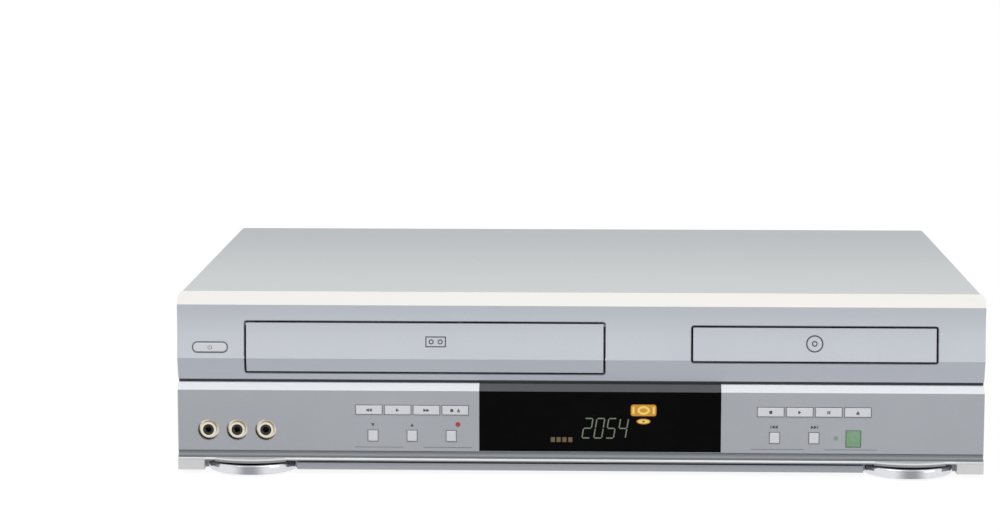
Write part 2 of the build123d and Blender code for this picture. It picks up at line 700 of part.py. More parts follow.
def jack_root(mouth, way):
    """Y where a jack's shell ends in its housing."""
    if way < 0:
        return FACE + BACK_WALL_Y + MOULD_WALL
    return REAR - SHEET


def jack_shells():
    """Plated ring of every phono jack."""
    shells = []
    for x, z, mouth, way in jack_places():
        y0, y1 = sorted((mouth, jack_root(mouth, way)))
        shells.append(rod_y(JACK_SHELL, x, z, y0, y1) - rod_y(JACK_SHELL_BORE, x, z, y0 - 1, y1 + 1))
    return group(shells)


def jack_cores(side):
    """Insulating cores of the phono jacks on one side, each with the hole for the plug's pin."""
    cores = []
    for x, z, mouth, way in jack_places():
        if way != side:
            continue
        face = mouth - way * JACK_CORE_RECESS
        y0, y1 = sorted((face, jack_root(mouth, way)))
        bottom = face - way * (y1 - y0 - 0.6)
        b0, b1 = sorted((face + way, bottom))
        cores.append(rod_y(JACK_SHELL_BORE, x, z, y0, y1) - rod_y(JACK_PIN_BORE, x, z, b0, b1))
    return cores


def front_jack_block():
    """Housing of the three front jacks."""
    y0 = FACE + BACK_WALL_Y + MOULD_WALL
    half = 1.5 * JACK_PITCH
    return block(FRONT_JACK_X - half, FRONT_JACK_X + half, y0, FACE + FRONT_BOARD_Y,
                 FRONT_JACK_Z - 7.5, FRONT_JACK_Z + 7.5)


def rear_jack_block():
    """Housing of the six rear jacks, its face flush with the rear panel, on a foot on the board."""
    y1 = REAR - SHEET - REAR_SHEET
    half = 1.5 * REAR_PITCH_X
    body = block(LINE_JACK_X - half, LINE_JACK_X + half, y1 - REAR_BLOCK_DEPTH, y1,
                 REAR_JACK_Z - REAR_PITCH_Z, REAR_JACK_Z + REAR_PITCH_Z)
    face = block(LINE_JACK_X - half + 1.5, LINE_JACK_X + half - 1.5, y1, REAR - SHEET,
                 REAR_JACK_Z - REAR_PITCH_Z + 1.5, REAR_JACK_Z + REAR_PITCH_Z - 1.5)
    leg = block(LINE_JACK_X - half + 4, LINE_JACK_X + half - 4, y1 - REAR_BLOCK_DEPTH, y1 - 4,
                BOARD_Z + BOARD, REAR_JACK_Z - REAR_PITCH_Z)
    return joined([body, face, leg])


# ---------------------------------------------------------------- cover, base and rear panel
def top_cover():
    """Folded steel cover with vent slots in both sides and a rear lip."""
    y0 = FACE + BRIGHT_TOP_Y
    outer = block(-COVER_HALF, COVER_HALF, y0, REAR, COVER_BOTTOM, HEIGHT)
    outer = fillet(outer.edges().filter_by(Axis.Y).group_by(Axis.Z)[-1], COVER_BEND)
    inner = block(-INSIDE_HALF, INSIDE_HALF, y0 - 1, REAR + 1, COVER_BOTTOM - 1, HEIGHT - SHEET)
    inner = fillet(inner.edges().filter_by(Axis.Y).group_by(Axis.Z)[-1], COVER_BEND - SHEET)
    shell = outer - inner
    shell = shell - block(-COVER_HALF - 1, COVER_HALF + 1, y0 - 1, FACE + BEZEL_DEPTH,
                          COVER_BOTTOM - 1, cover_shoulder())
    lip = block(-INSIDE_HALF, INSIDE_HALF, REAR - SHEET, REAR, HEIGHT - REAR_LIP, HEIGHT - SHEET)
    shell = shell + lip
    for y in row(REAR - 74.0, 8.0, 9):
        shell = shell - block(-COVER_HALF - 1, COVER_HALF + 1, y - 1.3, y + 1.3, 46.0, 78.0)
    for y, z in side_screw_places():
        shell = shell - rod_x(2.2, y, z, -COVER_HALF - 1, COVER_HALF + 1)
    for x in lip_screw_places():
        shell = shell - rod_y(2.2, x, HEIGHT - REAR_LIP / 2 - 0.6, REAR - SHEET - 1, REAR + 1)
    return shell


def side_screw_places():
    return [(FACE + 60.0, BASE_TOP + 9.0), (REAR - 30.0, BASE_TOP + 9.0)]


def lip_screw_places():
    return row(0.0, WIDTH - 70.0, 2)


def case_screws():
    """Pan-head screws that hold the cover: two in each side and two in the rear lip."""
    screws = []
    for y, z in side_screw_places():
        for side in (-1, 1):
            face = side * COVER_HALF
            h0, h1 = sorted((face, face + side * 1.0))
            s0, s1 = sorted((face, side * (INSIDE_HALF - BASE_WALL - SCREW_BOSS + 1)))
            screws.append(rod_x(3.6, y, z, h0, h1) + rod_x(1.7, y, z, s0, s1))
    z = HEIGHT - REAR_LIP / 2 - 0.6
    for x in lip_screw_places():
        shank = rod_y(1.7, x, z, REAR - SHEET - REAR_SHEET - 5, REAR)
        screws.append(rod_y(3.6, x, z, REAR, REAR + 1.8) + shank)
    return group(screws)


def base_chassis():
    """Moulded base: floor with cross ribs, side walls, board bosses, deck and loader pillars."""
    y0 = FACE + BEZEL_DEPTH
    y1 = REAR - SHEET - REAR_SHEET
    floor = block(-INSIDE_HALF, INSIDE_HALF, y0, y1, BASE_FLOOR, BASE_TOP)
    pieces = [floor]
    for side in (-1, 1):
        x0, x1 = sorted((side * INSIDE_HALF, side * (INSIDE_HALF - BASE_WALL)))
        pieces.append(block(x0, x1, y0, y1, BASE_FLOOR, BASE_FLOOR + BASE_SIDE))
        for y, z in side_screw_places():
            b0, b1 = sorted((side * (INSIDE_HALF - BASE_WALL), side * (INSIDE_HALF - BASE_WALL - SCREW_BOSS)))
            pieces.append(block(b0, b1, y - 4, y + 4, BASE_TOP, z + 4))
    for y in row((y0 + y1) / 2, 62.0, 4):
        pieces.append(block(-INSIDE_HALF + 2, INSIDE_HALF - 2, y - 1, y + 1, BASE_TOP, BASE_TOP + 2.0))
    for x, y in deck_pillar_places():
        pieces.append(block(x - 4.5, x + 4.5, y - 4.5, y + 4.5, BASE_TOP, DECK_Z))
    for x, y in loader_pillar_places():
        pieces.append(block(x - 5, x + 5, y - 5, y + 5, BASE_TOP, LOADER_BOTTOM))
    for x, y in board_boss_places():
        pieces.append(block(x - 3, x + 3, y - 3, y + 3, BASE_TOP, BOARD_Z))
    for side in (-1, 1):
        pieces.append(block(side * 120 - 12, side * 120 + 12, FACE + BACK_WALL_Y + MOULD_WALL + 0.2, y0 + 1,
                            BASE_FLOOR, BASE_TOP))
    body = joined(pieces)
    for y, z in side_screw_places():
        for side in (-1, 1):
            x0, x1 = sorted((side * (INSIDE_HALF + 1), side * (INSIDE_HALF - BASE_WALL - SCREW_BOSS + 1)))
            body = body - rod_x(1.7, y, z, x0, x1)
    for x in row(DISC_X, 10.0, 9):
        body = body - block(x - 1.6, x + 1.6, FACE + 180.0, FACE + 210.0, BASE_FLOOR - 1, BASE_TOP + 3)
    return body


def deck_pillar_places():
    xs = (CASSETTE_X - DECK_HALF + 8, CASSETTE_X + DECK_HALF - 8)
    return [(x, y) for x in xs for y in (DECK_FRONT + 8, DECK_BACK - 8)]


def loader_pillar_places():
    xs = (DISC_X - LOADER_HALF + 6, DISC_X + LOADER_HALF - 6)
    return [(x, y) for x in xs for y in (LOADER_FRONT + 10, LOADER_BACK - 8)]


def board_boss_places():
    xs = (-INSIDE_HALF + 23.0, POWER_BOARD_LEFT - 18.0, POWER_BOARD_LEFT + 14.0, INSIDE_HALF - 27.0)
    return [(x, y) for x in xs for y in (FACE + 40.0, REAR - 40.0)]


def rear_panel():
    """Steel rear panel with its connector cut-outs and vent slots."""
    y1 = REAR - SHEET
    y0 = y1 - REAR_SHEET
    panel = block(-INSIDE_HALF, INSIDE_HALF, y0, y1, BASE_FLOOR, HEIGHT - SHEET)
    panel = fillet(panel.edges().filter_by(Axis.Y).group_by(Axis.Z)[-1], COVER_BEND - SHEET)
    cut0 = y0 - 1
    cut1 = y1 + 1
    half = 1.5 * REAR_PITCH_X - 1.5
    panel = panel - block(LINE_JACK_X - half, LINE_JACK_X + half, cut0, cut1,
                          REAR_JACK_Z - REAR_PITCH_Z + 1.5, REAR_JACK_Z + REAR_PITCH_Z - 1.5)
    for x in row(ANTENNA_X, ANTENNA_PITCH, 2):
        panel = panel - rod_y(ANTENNA_RADIUS, x, ANTENNA_Z, cut0, cut1)
    panel = panel - rod_y(SVIDEO_RADIUS + 1.4, SVIDEO_X, REAR_JACK_Z, cut0, cut1)
    panel = panel - block(INLET_X - INLET_WIDTH / 2 - 2, INLET_X + INLET_WIDTH / 2 + 2, cut0, cut1,
                          INLET_Z - INLET_HEIGHT / 2 - 2, INLET_Z + INLET_HEIGHT / 2 + 2)
    for x in row(DISC_X, 8.0, 9):
        panel = panel - block(x - 1.5, x + 1.5, cut0, cut1, 60, 80)
    for x in lip_screw_places():
        panel = panel - rod_y(1.7, x, HEIGHT - REAR_LIP / 2 - 0.6, cut0, cut1)
    return panel


# ---------------------------------------------------------------- rear connectors
def tuner_can():
    """Screening can of the tuner, on the main board."""
    y1 = REAR - SHEET - REAR_SHEET
    half = ANTENNA_PITCH / 2 + 12
    can = block(ANTENNA_X - half, ANTENNA_X + half, y1 - TUNER_DEPTH, y1, BOARD_Z + BOARD, ANTENNA_Z + 12)
    return chamfer(can.edges().filter_by(Axis.Z), 1.0)


def antenna_sockets():
    """Two threaded coaxial sockets with their hexagon flanges."""
    y0 = REAR - SHEET - REAR_SHEET
    y1 = REAR + SOCKET_REACH
    sockets = []
    for x in row(ANTENNA_X, ANTENNA_PITCH, 2):
        barrel = rod_y(ANTENNA_RADIUS, x, ANTENNA_Z, y0, y1)
        nut = RegularPolygon(6.4, 6)
        flange = extrude(Plane.XZ.offset(-REAR + SHEET) * Pos(x, ANTENNA_Z) * nut, amount=-ANTENNA_NUT)
        sockets.append(barrel + flange - rod_y(ANTENNA_BORE, x, ANTENNA_Z, y1 - 6, y1 + 1))
    return sockets


def s_video_socket():
    y1 = REAR - SHEET
    y0 = y1 - REAR_SHEET
    body = block(SVIDEO_X - 7, SVIDEO_X + 7, y0 - 14, y0, BOARD_Z + BOARD, REAR_JACK_Z + 7)
    collar = rod_y(SVIDEO_RADIUS + 1.4, SVIDEO_X, REAR_JACK_Z, y0, REAR + 0.4)
    return body + collar - rod_y(SVIDEO_RADIUS, SVIDEO_X, REAR_JACK_Z, REAR + 0.4 - SVIDEO_DEPTH, REAR + 1)


def mains_inlet():
    """Two-pin inlet for a separate mains lead."""
    y1 = REAR + 0.6
    y0 = REAR - SHEET - REAR_SHEET
    w = INLET_WIDTH / 2
    h = INLET_HEIGHT / 2
    body = block(INLET_X - w - 2, INLET_X + w + 2, y0 - INLET_DEPTH, y1, INLET_Z - h - 2, INLET_Z + h + 2)
    stand = block(INLET_X - w, INLET_X + w, y0 - INLET_DEPTH, y0 - 4, BOARD_Z + BOARD, INLET_Z - h - 2)
    well = extrude(Plane.XZ.offset(-y1) * Pos(INLET_X, INLET_Z) * SlotOverall(INLET_WIDTH, INLET_HEIGHT),
                   amount=INLET_DEPTH)
    pins = [rod_y(INLET_PIN, x, INLET_Z, y1 - INLET_DEPTH - 1, y1 - 2.5)
            for x in row(INLET_X, INLET_PIN_PITCH, 2)]
    return joined([body + stand - well] + pins)


# ---------------------------------------------------------------- feet
def foot_places():
    return [(-FOOT_X, FOOT_Y), (FOOT_X, FOOT_Y)]


def foot_cores():
    """Cores of the front feet, moulded with the base."""
    feet = []
    for x, y in foot_places():
        core = post(FOOT_RADIUS - RING_WALL, x, y, RING_BOTTOM + 0.3, RING_TOP - 0.4)
        neck = post(FOOT_RADIUS - 7.6, x, y, RING_TOP - 1, BASE_FLOOR)
        feet.append(core + neck - post(PAD_RADIUS, x, y, 0, PAD_DEPTH))
    return joined(feet)


def foot_rings():
    """Bright plated rings round the front feet."""
    rings = []
    for x, y in foot_places():
        ring = post(FOOT_RADIUS, x, y, RING_BOTTOM, RING_TOP)
        ring = chamfer(ring.edges().filter_by(GeomType.CIRCLE), 0.7)
        rings.append(ring - post(FOOT_RADIUS - RING_WALL, x, y, 0, HEIGHT))
    return group(rings)


def foot_pads():
    """Rubber pads of the front feet and the two rubber rear feet."""
    pads = [post(PAD_RADIUS, x, y, 0, PAD_DEPTH) for x, y in foot_places()]
    for x in (-FOOT_X, FOOT_X):
        pads.append(post(REAR_FOOT_RADIUS, x, REAR_FOOT_Y, 0, BASE_FLOOR))
    return group(pads)


# ---------------------------------------------------------------- boards and power supply
def main_board():
    left = -INSIDE_HALF + BASE_WALL + SCREW_BOSS + 1
    return block(left, POWER_BOARD_LEFT - BOARD_GAP, FACE + 24.0, REAR - 4.0, BOARD_Z, BOARD_Z + BOARD)


def power_board():
    right = INSIDE_HALF - BASE_WALL - SCREW_BOSS - 1
    return block(POWER_BOARD_LEFT, right, FACE + 24.0, REAR - 4.0, BOARD_Z, BOARD_Z + BOARD)


def clear_of_pillars(board):
    """Cuts the pillars' holes out of a board."""
    for x, y in deck_pillar_places():
        board = board - block(x - 5.5, x + 5.5, y - 5.5, y + 5.5, 0, HEIGHT)
    for x, y in loader_pillar_places():
        board = board - block(x - 6, x + 6, y - 6, y + 6, 0, HEIGHT)
    return board


def power_parts():
    """Ferrite transformer, two electrolytic capacitors and a finned heat sink."""
    z0 = BOARD_Z + BOARD
    x = 96.0
    y = REAR - 40.0
    core = block(x - 16, x + 16, y - 13, y + 13, z0 + 2, z0 + 24)
    core = core - block(x - 9, x + 9, y - 14, y + 14, z0 + 6, z0 + 20)
    bobbin = block(x - 8.5, x + 8.5, y - 15, y + 15, z0, z0 + 19.5)
    cans = [post(r, x, REAR - back, z0, z0 + h)
            for x, back, r, h in ((140.0, 40.0, 11.0, 30.0), (128.0, 72.0, 6.3, 22.0))]
    y = REAR - 58.0
    x = INSIDE_HALF - 23.0
    fins = [block(at - 0.8, at + 0.8, y - 12, y, z0, z0 + 26) for at in row(x, 5.0, 6)]
    sink = joined([block(x - 13.5, x + 13.5, y, y + 2.0, z0, z0 + 26)] + fins)
    return [core + bobbin] + cans + [sink]


# ---------------------------------------------------------------- cassette deck
def deck_plate():
    """Pressed steel deck with the guide slots and the capstan hole."""
    x0 = CASSETTE_X - DECK_HALF
    x1 = CASSETTE_X + DECK_HALF
    plate = block(x0, x1, DECK_FRONT, DECK_BACK, DECK_Z, DECK_Z + DECK_SHEET)
    for side in (-1, 1):
        plate = plate - guide_slot(side)
    plate = plate - post(CAPSTAN_RADIUS + 1.0, CAPSTAN_X, FACE + CAPSTAN_BACK, 0, HEIGHT)
    plate = plate - post(4.0, CASSETTE_X, FACE + CLUTCH_BACK, 0, HEIGHT)
    front_rib = block(x0, x1, DECK_FRONT, DECK_FRONT + DECK_SHEET, DECK_Z, DECK_Z + 5)
    back_rib = block(x0, x1, DECK_BACK - DECK_SHEET, DECK_BACK, DECK_Z, DECK_Z + 5)
    return joined([plate, front_rib, back_rib])


def guide_point(side, share):
    """Place of a tape guide on its slot: side -1 is the supply side, share 0 is unloaded."""
    dx = GUIDE_START[0] + (GUIDE_END[0] - GUIDE_START[0]) * share
    back = GUIDE_START[1] + (GUIDE_END[1] - GUIDE_START[1]) * share
    return DRUM_X + side * dx, FACE + back


def guide_slot(side):
    x0, y0 = guide_point(side, -0.06)
    x1, y1 = guide_point(side, 1.06)
    length = math.hypot(x1 - x0, y1 - y0)
    angle = math.degrees(math.atan2(y1 - y0, x1 - x0))
    slot = Pos((x0 + x1) / 2, (y0 + y1) / 2) * Rot(0, 0, angle) * SlotOverall(length + 6, 6.0)
    return extrude(Plane.XY.offset(DECK_Z - 1) * slot, amount=DECK_SHEET + 2)


def tape_guide(side):
    """Guide roller on the shoe that slides in the deck's slot."""
    x, y = guide_point(side, 0.0)
    top = DECK_Z + DECK_SHEET
    shoe = block(x - 5, x + 5, y - 6, y + 6, top + RUN_GAP, top + 4)
    tongue = post(2.4, x, y, DECK_Z - 2.5, top + 1)
    keeper = block(x - 4.5, x + 4.5, y - 4.5, y + 4.5, DECK_Z - 4, DECK_Z - RUN_GAP)
    roller = post(3.0, x, y, top + 4, top + 27)
    return joined([shoe, tongue, keeper, roller])


def lower_drum():
    """Fixed lower drum with the tape's guide ledge, tilted on its base."""
    y = FACE + DRUM_BACK
    drum = Cylinder(DRUM_RADIUS, 12.0, align=(Align.CENTER, Align.CENTER, Align.MAX))
    ledge = Cylinder(DRUM_RADIUS + 1.2, 3.0, align=(Align.CENTER, Align.CENTER, Align.MAX))
    boss = Cylinder(13.0, 20.0, align=(Align.CENTER, Align.CENTER, Align.MAX))
    tilted = Pos(DRUM_X, y, DRUM_SPLIT_Z) * Rot(0, DRUM_TILT, 0) * (drum + Pos(0, 0, -9) * ledge + boss)
    foot = block(DRUM_X - 24, DRUM_X + 24, y - 20, y + 20, DECK_Z + DECK_SHEET, DECK_Z + DECK_SHEET + 10)
    return tilted + foot


def upper_drum():
    """Rotating upper drum with its rotor and two head windows."""
    up = (Align.CENTER, Align.CENTER, Align.MIN)
    drum = Cylinder(DRUM_RADIUS, 13.0, align=up)
    rotor = Pos(0, 0, 13.0) * Cylinder(20.0, 5.0, align=up)
    body = Pos(0, 0, 0.4) * (drum + rotor - Pos(0, 0, 17) * Cylinder(6.0, 2.0, align=up))
    for side in (-1, 1):
        body = body - Pos(side * DRUM_RADIUS, 0, 0) * Box(4.0, 3.0, 4.0)
    return Pos(DRUM_X, FACE + DRUM_BACK, DRUM_SPLIT_Z) * Rot(0, DRUM_TILT, 0) * body


def reel_table(x):
    """Reel table with its three-finned spindle."""
    y = FACE + REEL_BACK
    z0 = DECK_Z + DECK_SHEET + RUN_GAP
    disc = post(REEL_RADIUS, x, y, z0, z0 + 3.0)
    hub = post(12.0, x, y, z0 + 3.0, z0 + 6.0)
    spindle = post(REEL_SPINDLE - 1.8, x, y, z0 + 6.0, z0 + 19.0)
    fins = [Pos(x, y, z0 + 11.5) * Rot(0, 0, 120 * i) * Pos(REEL_SPINDLE / 2, 0, 0) * Box(REEL_SPINDLE, 1.6, 11.0)
            for i in range(3)]
    return joined([disc, hub, spindle] + fins)


def capstan():
    """Capstan shaft with its pulley and flywheel below the deck."""
    y = FACE + CAPSTAN_BACK
    top = DECK_Z + DECK_SHEET
    shaft = post(CAPSTAN_RADIUS, CAPSTAN_X, y, BELT_Z - 0.6, top + 32)
    wheel = post(FLYWHEEL_RADIUS, CAPSTAN_X, y, BELT_Z + BELT_WIDTH + 0.8, DECK_Z - 0.8)
    pulley = post(CAPSTAN_PULLEY, CAPSTAN_X, y, BELT_Z - 0.6, BELT_Z + BELT_WIDTH + 0.8)
    return joined([shaft, wheel, pulley])


def clutch_pulley():
    """Pulley between the reels that takes the capstan's drive."""
    y = FACE + CLUTCH_BACK
    wheel = post(CLUTCH_RADIUS, CASSETTE_X, y, BELT_Z - 0.6, BELT_Z + BELT_WIDTH + 0.8)
    shaft = post(3.0, CASSETTE_X, y, BELT_Z, DECK_Z + DECK_SHEET + 4.0)
    gear = post(9.0, CASSETTE_X, y, DECK_Z + DECK_SHEET + RUN_GAP, DECK_Z + DECK_SHEET + 3.4)
    return joined([wheel, shaft, gear])


def belt_loop(r0, r1):
    """Outline round the two pulleys at radii r0 (capstan) and r1 (clutch)."""
    ax, ay = CAPSTAN_X, FACE + CAPSTAN_BACK
    bx, by = CASSETTE_X, FACE + CLUTCH_BACK
    hull = make_hull((Pos(ax, ay) * Circle(r0)).edges() + (Pos(bx, by) * Circle(r1)).edges())
    return hull


def drive_belt():
    gap = 0.25
    outer = belt_loop(CAPSTAN_PULLEY + gap + BELT_THICK, CLUTCH_RADIUS + gap + BELT_THICK)
    inner = belt_loop(CAPSTAN_PULLEY + gap, CLUTCH_RADIUS + gap)
    return extrude(Plane.XY.offset(BELT_Z) * (outer - inner), amount=BELT_WIDTH)


def pinch_roller_place():
    """Roller centre at rest, away from the capstan."""
    return CAPSTAN_X + 15.0, FACE + CAPSTAN_BACK - 16.0


def pinch_arm():
    """Arm that swings the rubber roller against the capstan."""
    px, py = PINCH_PIVOT_X, FACE + PINCH_PIVOT_BACK
    rx, ry = pinch_roller_place()
    z0 = DECK_Z + DECK_SHEET + RUN_GAP
    length = math.hypot(rx - px, ry - py)
    angle = math.degrees(math.atan2(ry - py, rx - px))
    bar = Pos((rx + px) / 2, (ry + py) / 2) * Rot(0, 0, angle) * SlotOverall(length + 8, 8.0)
    arm = extrude(Plane.XY.offset(z0 + 4) * bar, amount=2.0)
    pivot = post(4.0, px, py, z0, z0 + 12)
    axle = post(1.5, rx, ry, z0 + 5, z0 + 26)
    return joined([arm, pivot, axle])


def pinch_roller():
    rx, ry = pinch_roller_place()
    z0 = DECK_Z + DECK_SHEET + 7.0
    return post(PINCH_RADIUS, rx, ry, z0, z0 + 15) - post(1.5 + PIN_PLAY, rx, ry, z0 - 1, z0 + 16)


def tape_heads():
    """Erase head on the supply side, sound and control head beside the take-up guide."""
    top = DECK_Z + DECK_SHEET
    erase = block(DRUM_X - 62, DRUM_X - 52, FACE + 176, FACE + 184, top, top + 26)
    sound = block(DRUM_X + 52, DRUM_X + 62, FACE + 204, FACE + 216, top, top + 28)
    return group([erase, sound])


def loading_motor():
    """Motor and worm that load the tape and move the carriage."""
    z = DECK_Z + DECK_SHEET + 13.0
    y = DECK_BACK - 13.0
    x = CASSETTE_X - DECK_HALF + 11.0
    can = rod_x(12.0, y, z, x, x + 30)
    worm = rod_x(3.0, y, z, x + 30, x + 38)
    cradle = block(x + 2, x + 28, y - 10, y + 10, DECK_Z + DECK_SHEET, z - 7)
    return joined([can, worm, cradle])


def holder_span():
    half = CASSETTE_WIDTH / 2
    return CASSETTE_X - half, CASSETTE_X + half


def cassette_holder():
    """Sheet holder that takes the cassette, open to the front, with windows over the reels."""
    x0, x1 = holder_span()
    y0 = HOLDER_FRONT
    y1 = HOLDER_FRONT + CASSETTE_DEPTH
    z0 = HOLDER_FLOOR_Z
    z1 = z0 + CASSETTE_THICK
    t = HOLDER_SHEET
    floor = block(x0 - t, x1 + t, y0, y0 + HOLDER_FLOOR_DEPTH, z0 - t, z0)
    for x in row(CASSETTE_X, REEL_SPAN, 2):
        floor = floor - block(x - 17, x + 17, FACE + REEL_BACK - HOLDER_FEED - 17,
                              y0 + HOLDER_FLOOR_DEPTH + 1, z0 - t - 1, z0 + 1)
    roof = block(x0 - t, x1 + t, y0, y1, z1, z1 + t)
    roof = roof - block(CASSETTE_X - 55, CASSETTE_X + 55, y0 + 30, y1 - 14, z1 - 1, z1 + t + 1)
    left = block(x0 - t, x0, y0, y1, z0 - t, z1 + t)
    right = block(x1, x1 + t, y0, y1, z0 - t, z1 + t)
    pins = [rod_x(GUIDE_PIN, y, holder_pin_z(), x0 - t - SLEDGE_SHEET - RUN_GAP, x0 - t)
            for y in holder_pin_places()]
    pins += [rod_x(GUIDE_PIN, y, holder_pin_z(), x1 + t, x1 + t + SLEDGE_SHEET + RUN_GAP)
             for y in holder_pin_places()]
    return joined([floor, roof, left, right] + pins)


def holder_pin_z():
    return HOLDER_FLOOR_Z + CASSETTE_THICK / 2


def holder_pin_places():
    return [HOLDER_FRONT + 22.0, HOLDER_FRONT + CASSETTE_DEPTH - 22.0]


def holder_sledge():
    """Two slide plates that carry the holder back and guide its pins down."""
    x0, x1 = holder_span()
    inner0 = x0 - HOLDER_SHEET - RUN_GAP
    inner1 = x1 + HOLDER_SHEET + RUN_GAP
    z_pin = holder_pin_z()
    y0 = HOLDER_FRONT + 12
    y1 = HOLDER_FRONT + CASSETTE_DEPTH - 12
    plates = []
    for a, b in ((inner0 - SLEDGE_SHEET, inner0), (inner1, inner1 + SLEDGE_SHEET)):
        plate = block(a, b, y0, y1, z_pin - HOLDER_DROP - 5, z_pin + 5)
        for y in holder_pin_places():
            plate = plate - block(a - 1, b + 1, y - GUIDE_PIN - 0.1, y + GUIDE_PIN + 0.1,
                                  z_pin - HOLDER_DROP - GUIDE_PIN - 0.1, z_pin + GUIDE_PIN + 0.1)
        plates.append(plate)
    z_rail = sledge_rail_z()
    reach = SLEDGE_SHEET + FRAME_SHEET + RUN_GAP
    for y in (y0 + 4, y1 - 4):
        plates[0] = plates[0] + rod_x(GUIDE_PIN, y, z_rail, inner0 - reach, inner0)
        plates[1] = plates[1] + rod_x(GUIDE_PIN, y, z_rail, inner1, inner1 + reach)
    return group(plates)


def sledge_rail_z():
    return holder_pin_z() + 2.6


def carriage_top():
    """Top of the side frames, clear above the holder's roof."""
    return HOLDER_FLOOR_Z + CASSETTE_THICK + HOLDER_SHEET + 1.0


def carriage_frame():
    """Side frames with the level slots of the sledge, standing on the deck."""
    x0, x1 = holder_span()
    gap = HOLDER_PLAY
    z_rail = sledge_rail_z()
    y0 = HOLDER_FRONT + 12
    y1 = HOLDER_FRONT + CASSETTE_DEPTH - 12
    sides = []
    for a, b in ((x0 - gap - FRAME_SHEET, x0 - gap), (x1 + gap, x1 + gap + FRAME_SHEET)):
        side = block(a, b, HOLDER_FRONT, HOLDER_FRONT + CASSETTE_DEPTH + HOLDER_FEED,
                     DECK_Z + DECK_SHEET, carriage_top())
        for y in (y0 + 4, y1 - 4):
            side = side - block(a - 1, b + 1, y - GUIDE_PIN - 0.1, y + HOLDER_FEED + GUIDE_PIN + 0.1,
                                z_rail - GUIDE_PIN - 0.1, z_rail + GUIDE_PIN + 0.1)
        side = side - block(a - 1, b + 1, HOLDER_FRONT + 26, HOLDER_FRONT + CASSETTE_DEPTH - 4,
                            DECK_Z + 12, z_rail - 18)
        foot_in = 6.0 if a < CASSETTE_X else -6.0
        f0, f1 = sorted((a if foot_in > 0 else b, (a if foot_in > 0 else b) + foot_in))
        foot = block(f0, f1, HOLDER_FRONT + 4, HOLDER_FRONT + CASSETTE_DEPTH, DECK_Z + DECK_SHEET,
                     DECK_Z + DECK_SHEET + 1.2)
        sides.append(side + foot)
    bridge = block(x0 - gap - FRAME_SHEET, x1 + gap + FRAME_SHEET, HOLDER_FRONT + 108, HOLDER_FRONT + 122,
                   carriage_top(), carriage_top() + FRAME_SHEET)
    return joined(sides + [bridge])


# ---------------------------------------------------------------- disc loader
def spindle_y():
    return TRAY_FRONT + DISC_BACK


def loader_frame():
    """Moulded loader frame: side walls with the tray's rails, cross beams and a floor ring."""
    x0 = DISC_X - LOADER_HALF
    x1 = DISC_X + LOADER_HALF
    outer = block(x0, x1, LOADER_FRONT, LOADER_BACK, LOADER_BOTTOM, LOADER_TOP)
    inner = block(x0 + LOADER_WALL, x1 - LOADER_WALL, LOADER_FRONT - 1, LOADER_BACK - LOADER_WALL,
                  LOADER_BOTTOM + LOADER_WALL, LOADER_TOP + 1)
    frame = outer - inner
    frame = frame - block(DISC_X - 52, DISC_X + 52, LOADER_FRONT + 12, LOADER_BACK - 14,
                          LOADER_BOTTOM - 1, LOADER_BOTTOM + LOADER_WALL + 1)
    rail_half = TRAY_WIDTH / 2 + RUN_GAP
    for side in (-1, 1):
        near = DISC_X + side * (TRAY_WIDTH / 2 - 3.0)
        far = DISC_X + side * (LOADER_HALF - LOADER_WALL)
        clear = DISC_X + side * rail_half
        a, b = sorted((near, far))
        c, d = sorted((clear, far))
        frame = frame + block(a, b, LOADER_FRONT, LOADER_BACK - LOADER_WALL,
                              TRAY_BOTTOM - RUN_GAP - 2.0, TRAY_BOTTOM - RUN_GAP)
        frame = frame + block(c, d, LOADER_FRONT, LOADER_BACK - LOADER_WALL,
                              TRAY_BOTTOM - RUN_GAP, TRAY_BOTTOM + TRAY_THICK + 2)
        pivot_x = DISC_X + side * 44.0
        p0, p1 = sorted((pivot_x, pivot_x + side * 4.0))
        ear = block(p0, p1, traverse_pivot_y() - 4, traverse_pivot_y() + 4,
                    LOADER_BOTTOM + 0.5, TRAVERSE_Z + 5)
        shelf = block(p0, DISC_X + 53 if side > 0 else p1, traverse_pivot_y() - 4, traverse_pivot_y() + 4,
                      LOADER_BOTTOM, LOADER_BOTTOM + LOADER_WALL) if side > 0 else block(
                          DISC_X - 53, p1, traverse_pivot_y() - 4, traverse_pivot_y() + 4,
                          LOADER_BOTTOM, LOADER_BOTTOM + LOADER_WALL)
        frame = frame + ear + shelf
    hole = rod_x(2.0 + PIN_PLAY, traverse_pivot_y(), TRAVERSE_Z + 1, DISC_X - 49, DISC_X + 49)
    gx, gy = gear_place()
    can = post(GEAR_MOTOR_RADIUS + RUN_GAP, gx + GEAR_MOTOR_OFFSET, gy, LOADER_BOTTOM - 1,
               LOADER_BOTTOM + LOADER_WALL + 1)
    return frame - hole - can


def traverse_pivot_y():
    return FACE + TRAVERSE_PIVOT_BACK


def rack_pitch():
    return math.pi * RACK_MODULE


def gear_radius():
    return RACK_MODULE * GEAR_TEETH / 2


def gear_place():
    """Drive gear's centre as (X, Y)."""
    return rack_pitch_x() + gear_radius(), FACE + GEAR_BACK


def rack_pitch_x():
    return DISC_X - TRAY_WIDTH / 2 + 8.0


def tooth_half(depth):
    """Half thickness of a rack tooth at a height above the pitch line."""
    return rack_pitch() / 4 - BACKLASH / 4 - depth * math.tan(math.radians(20))


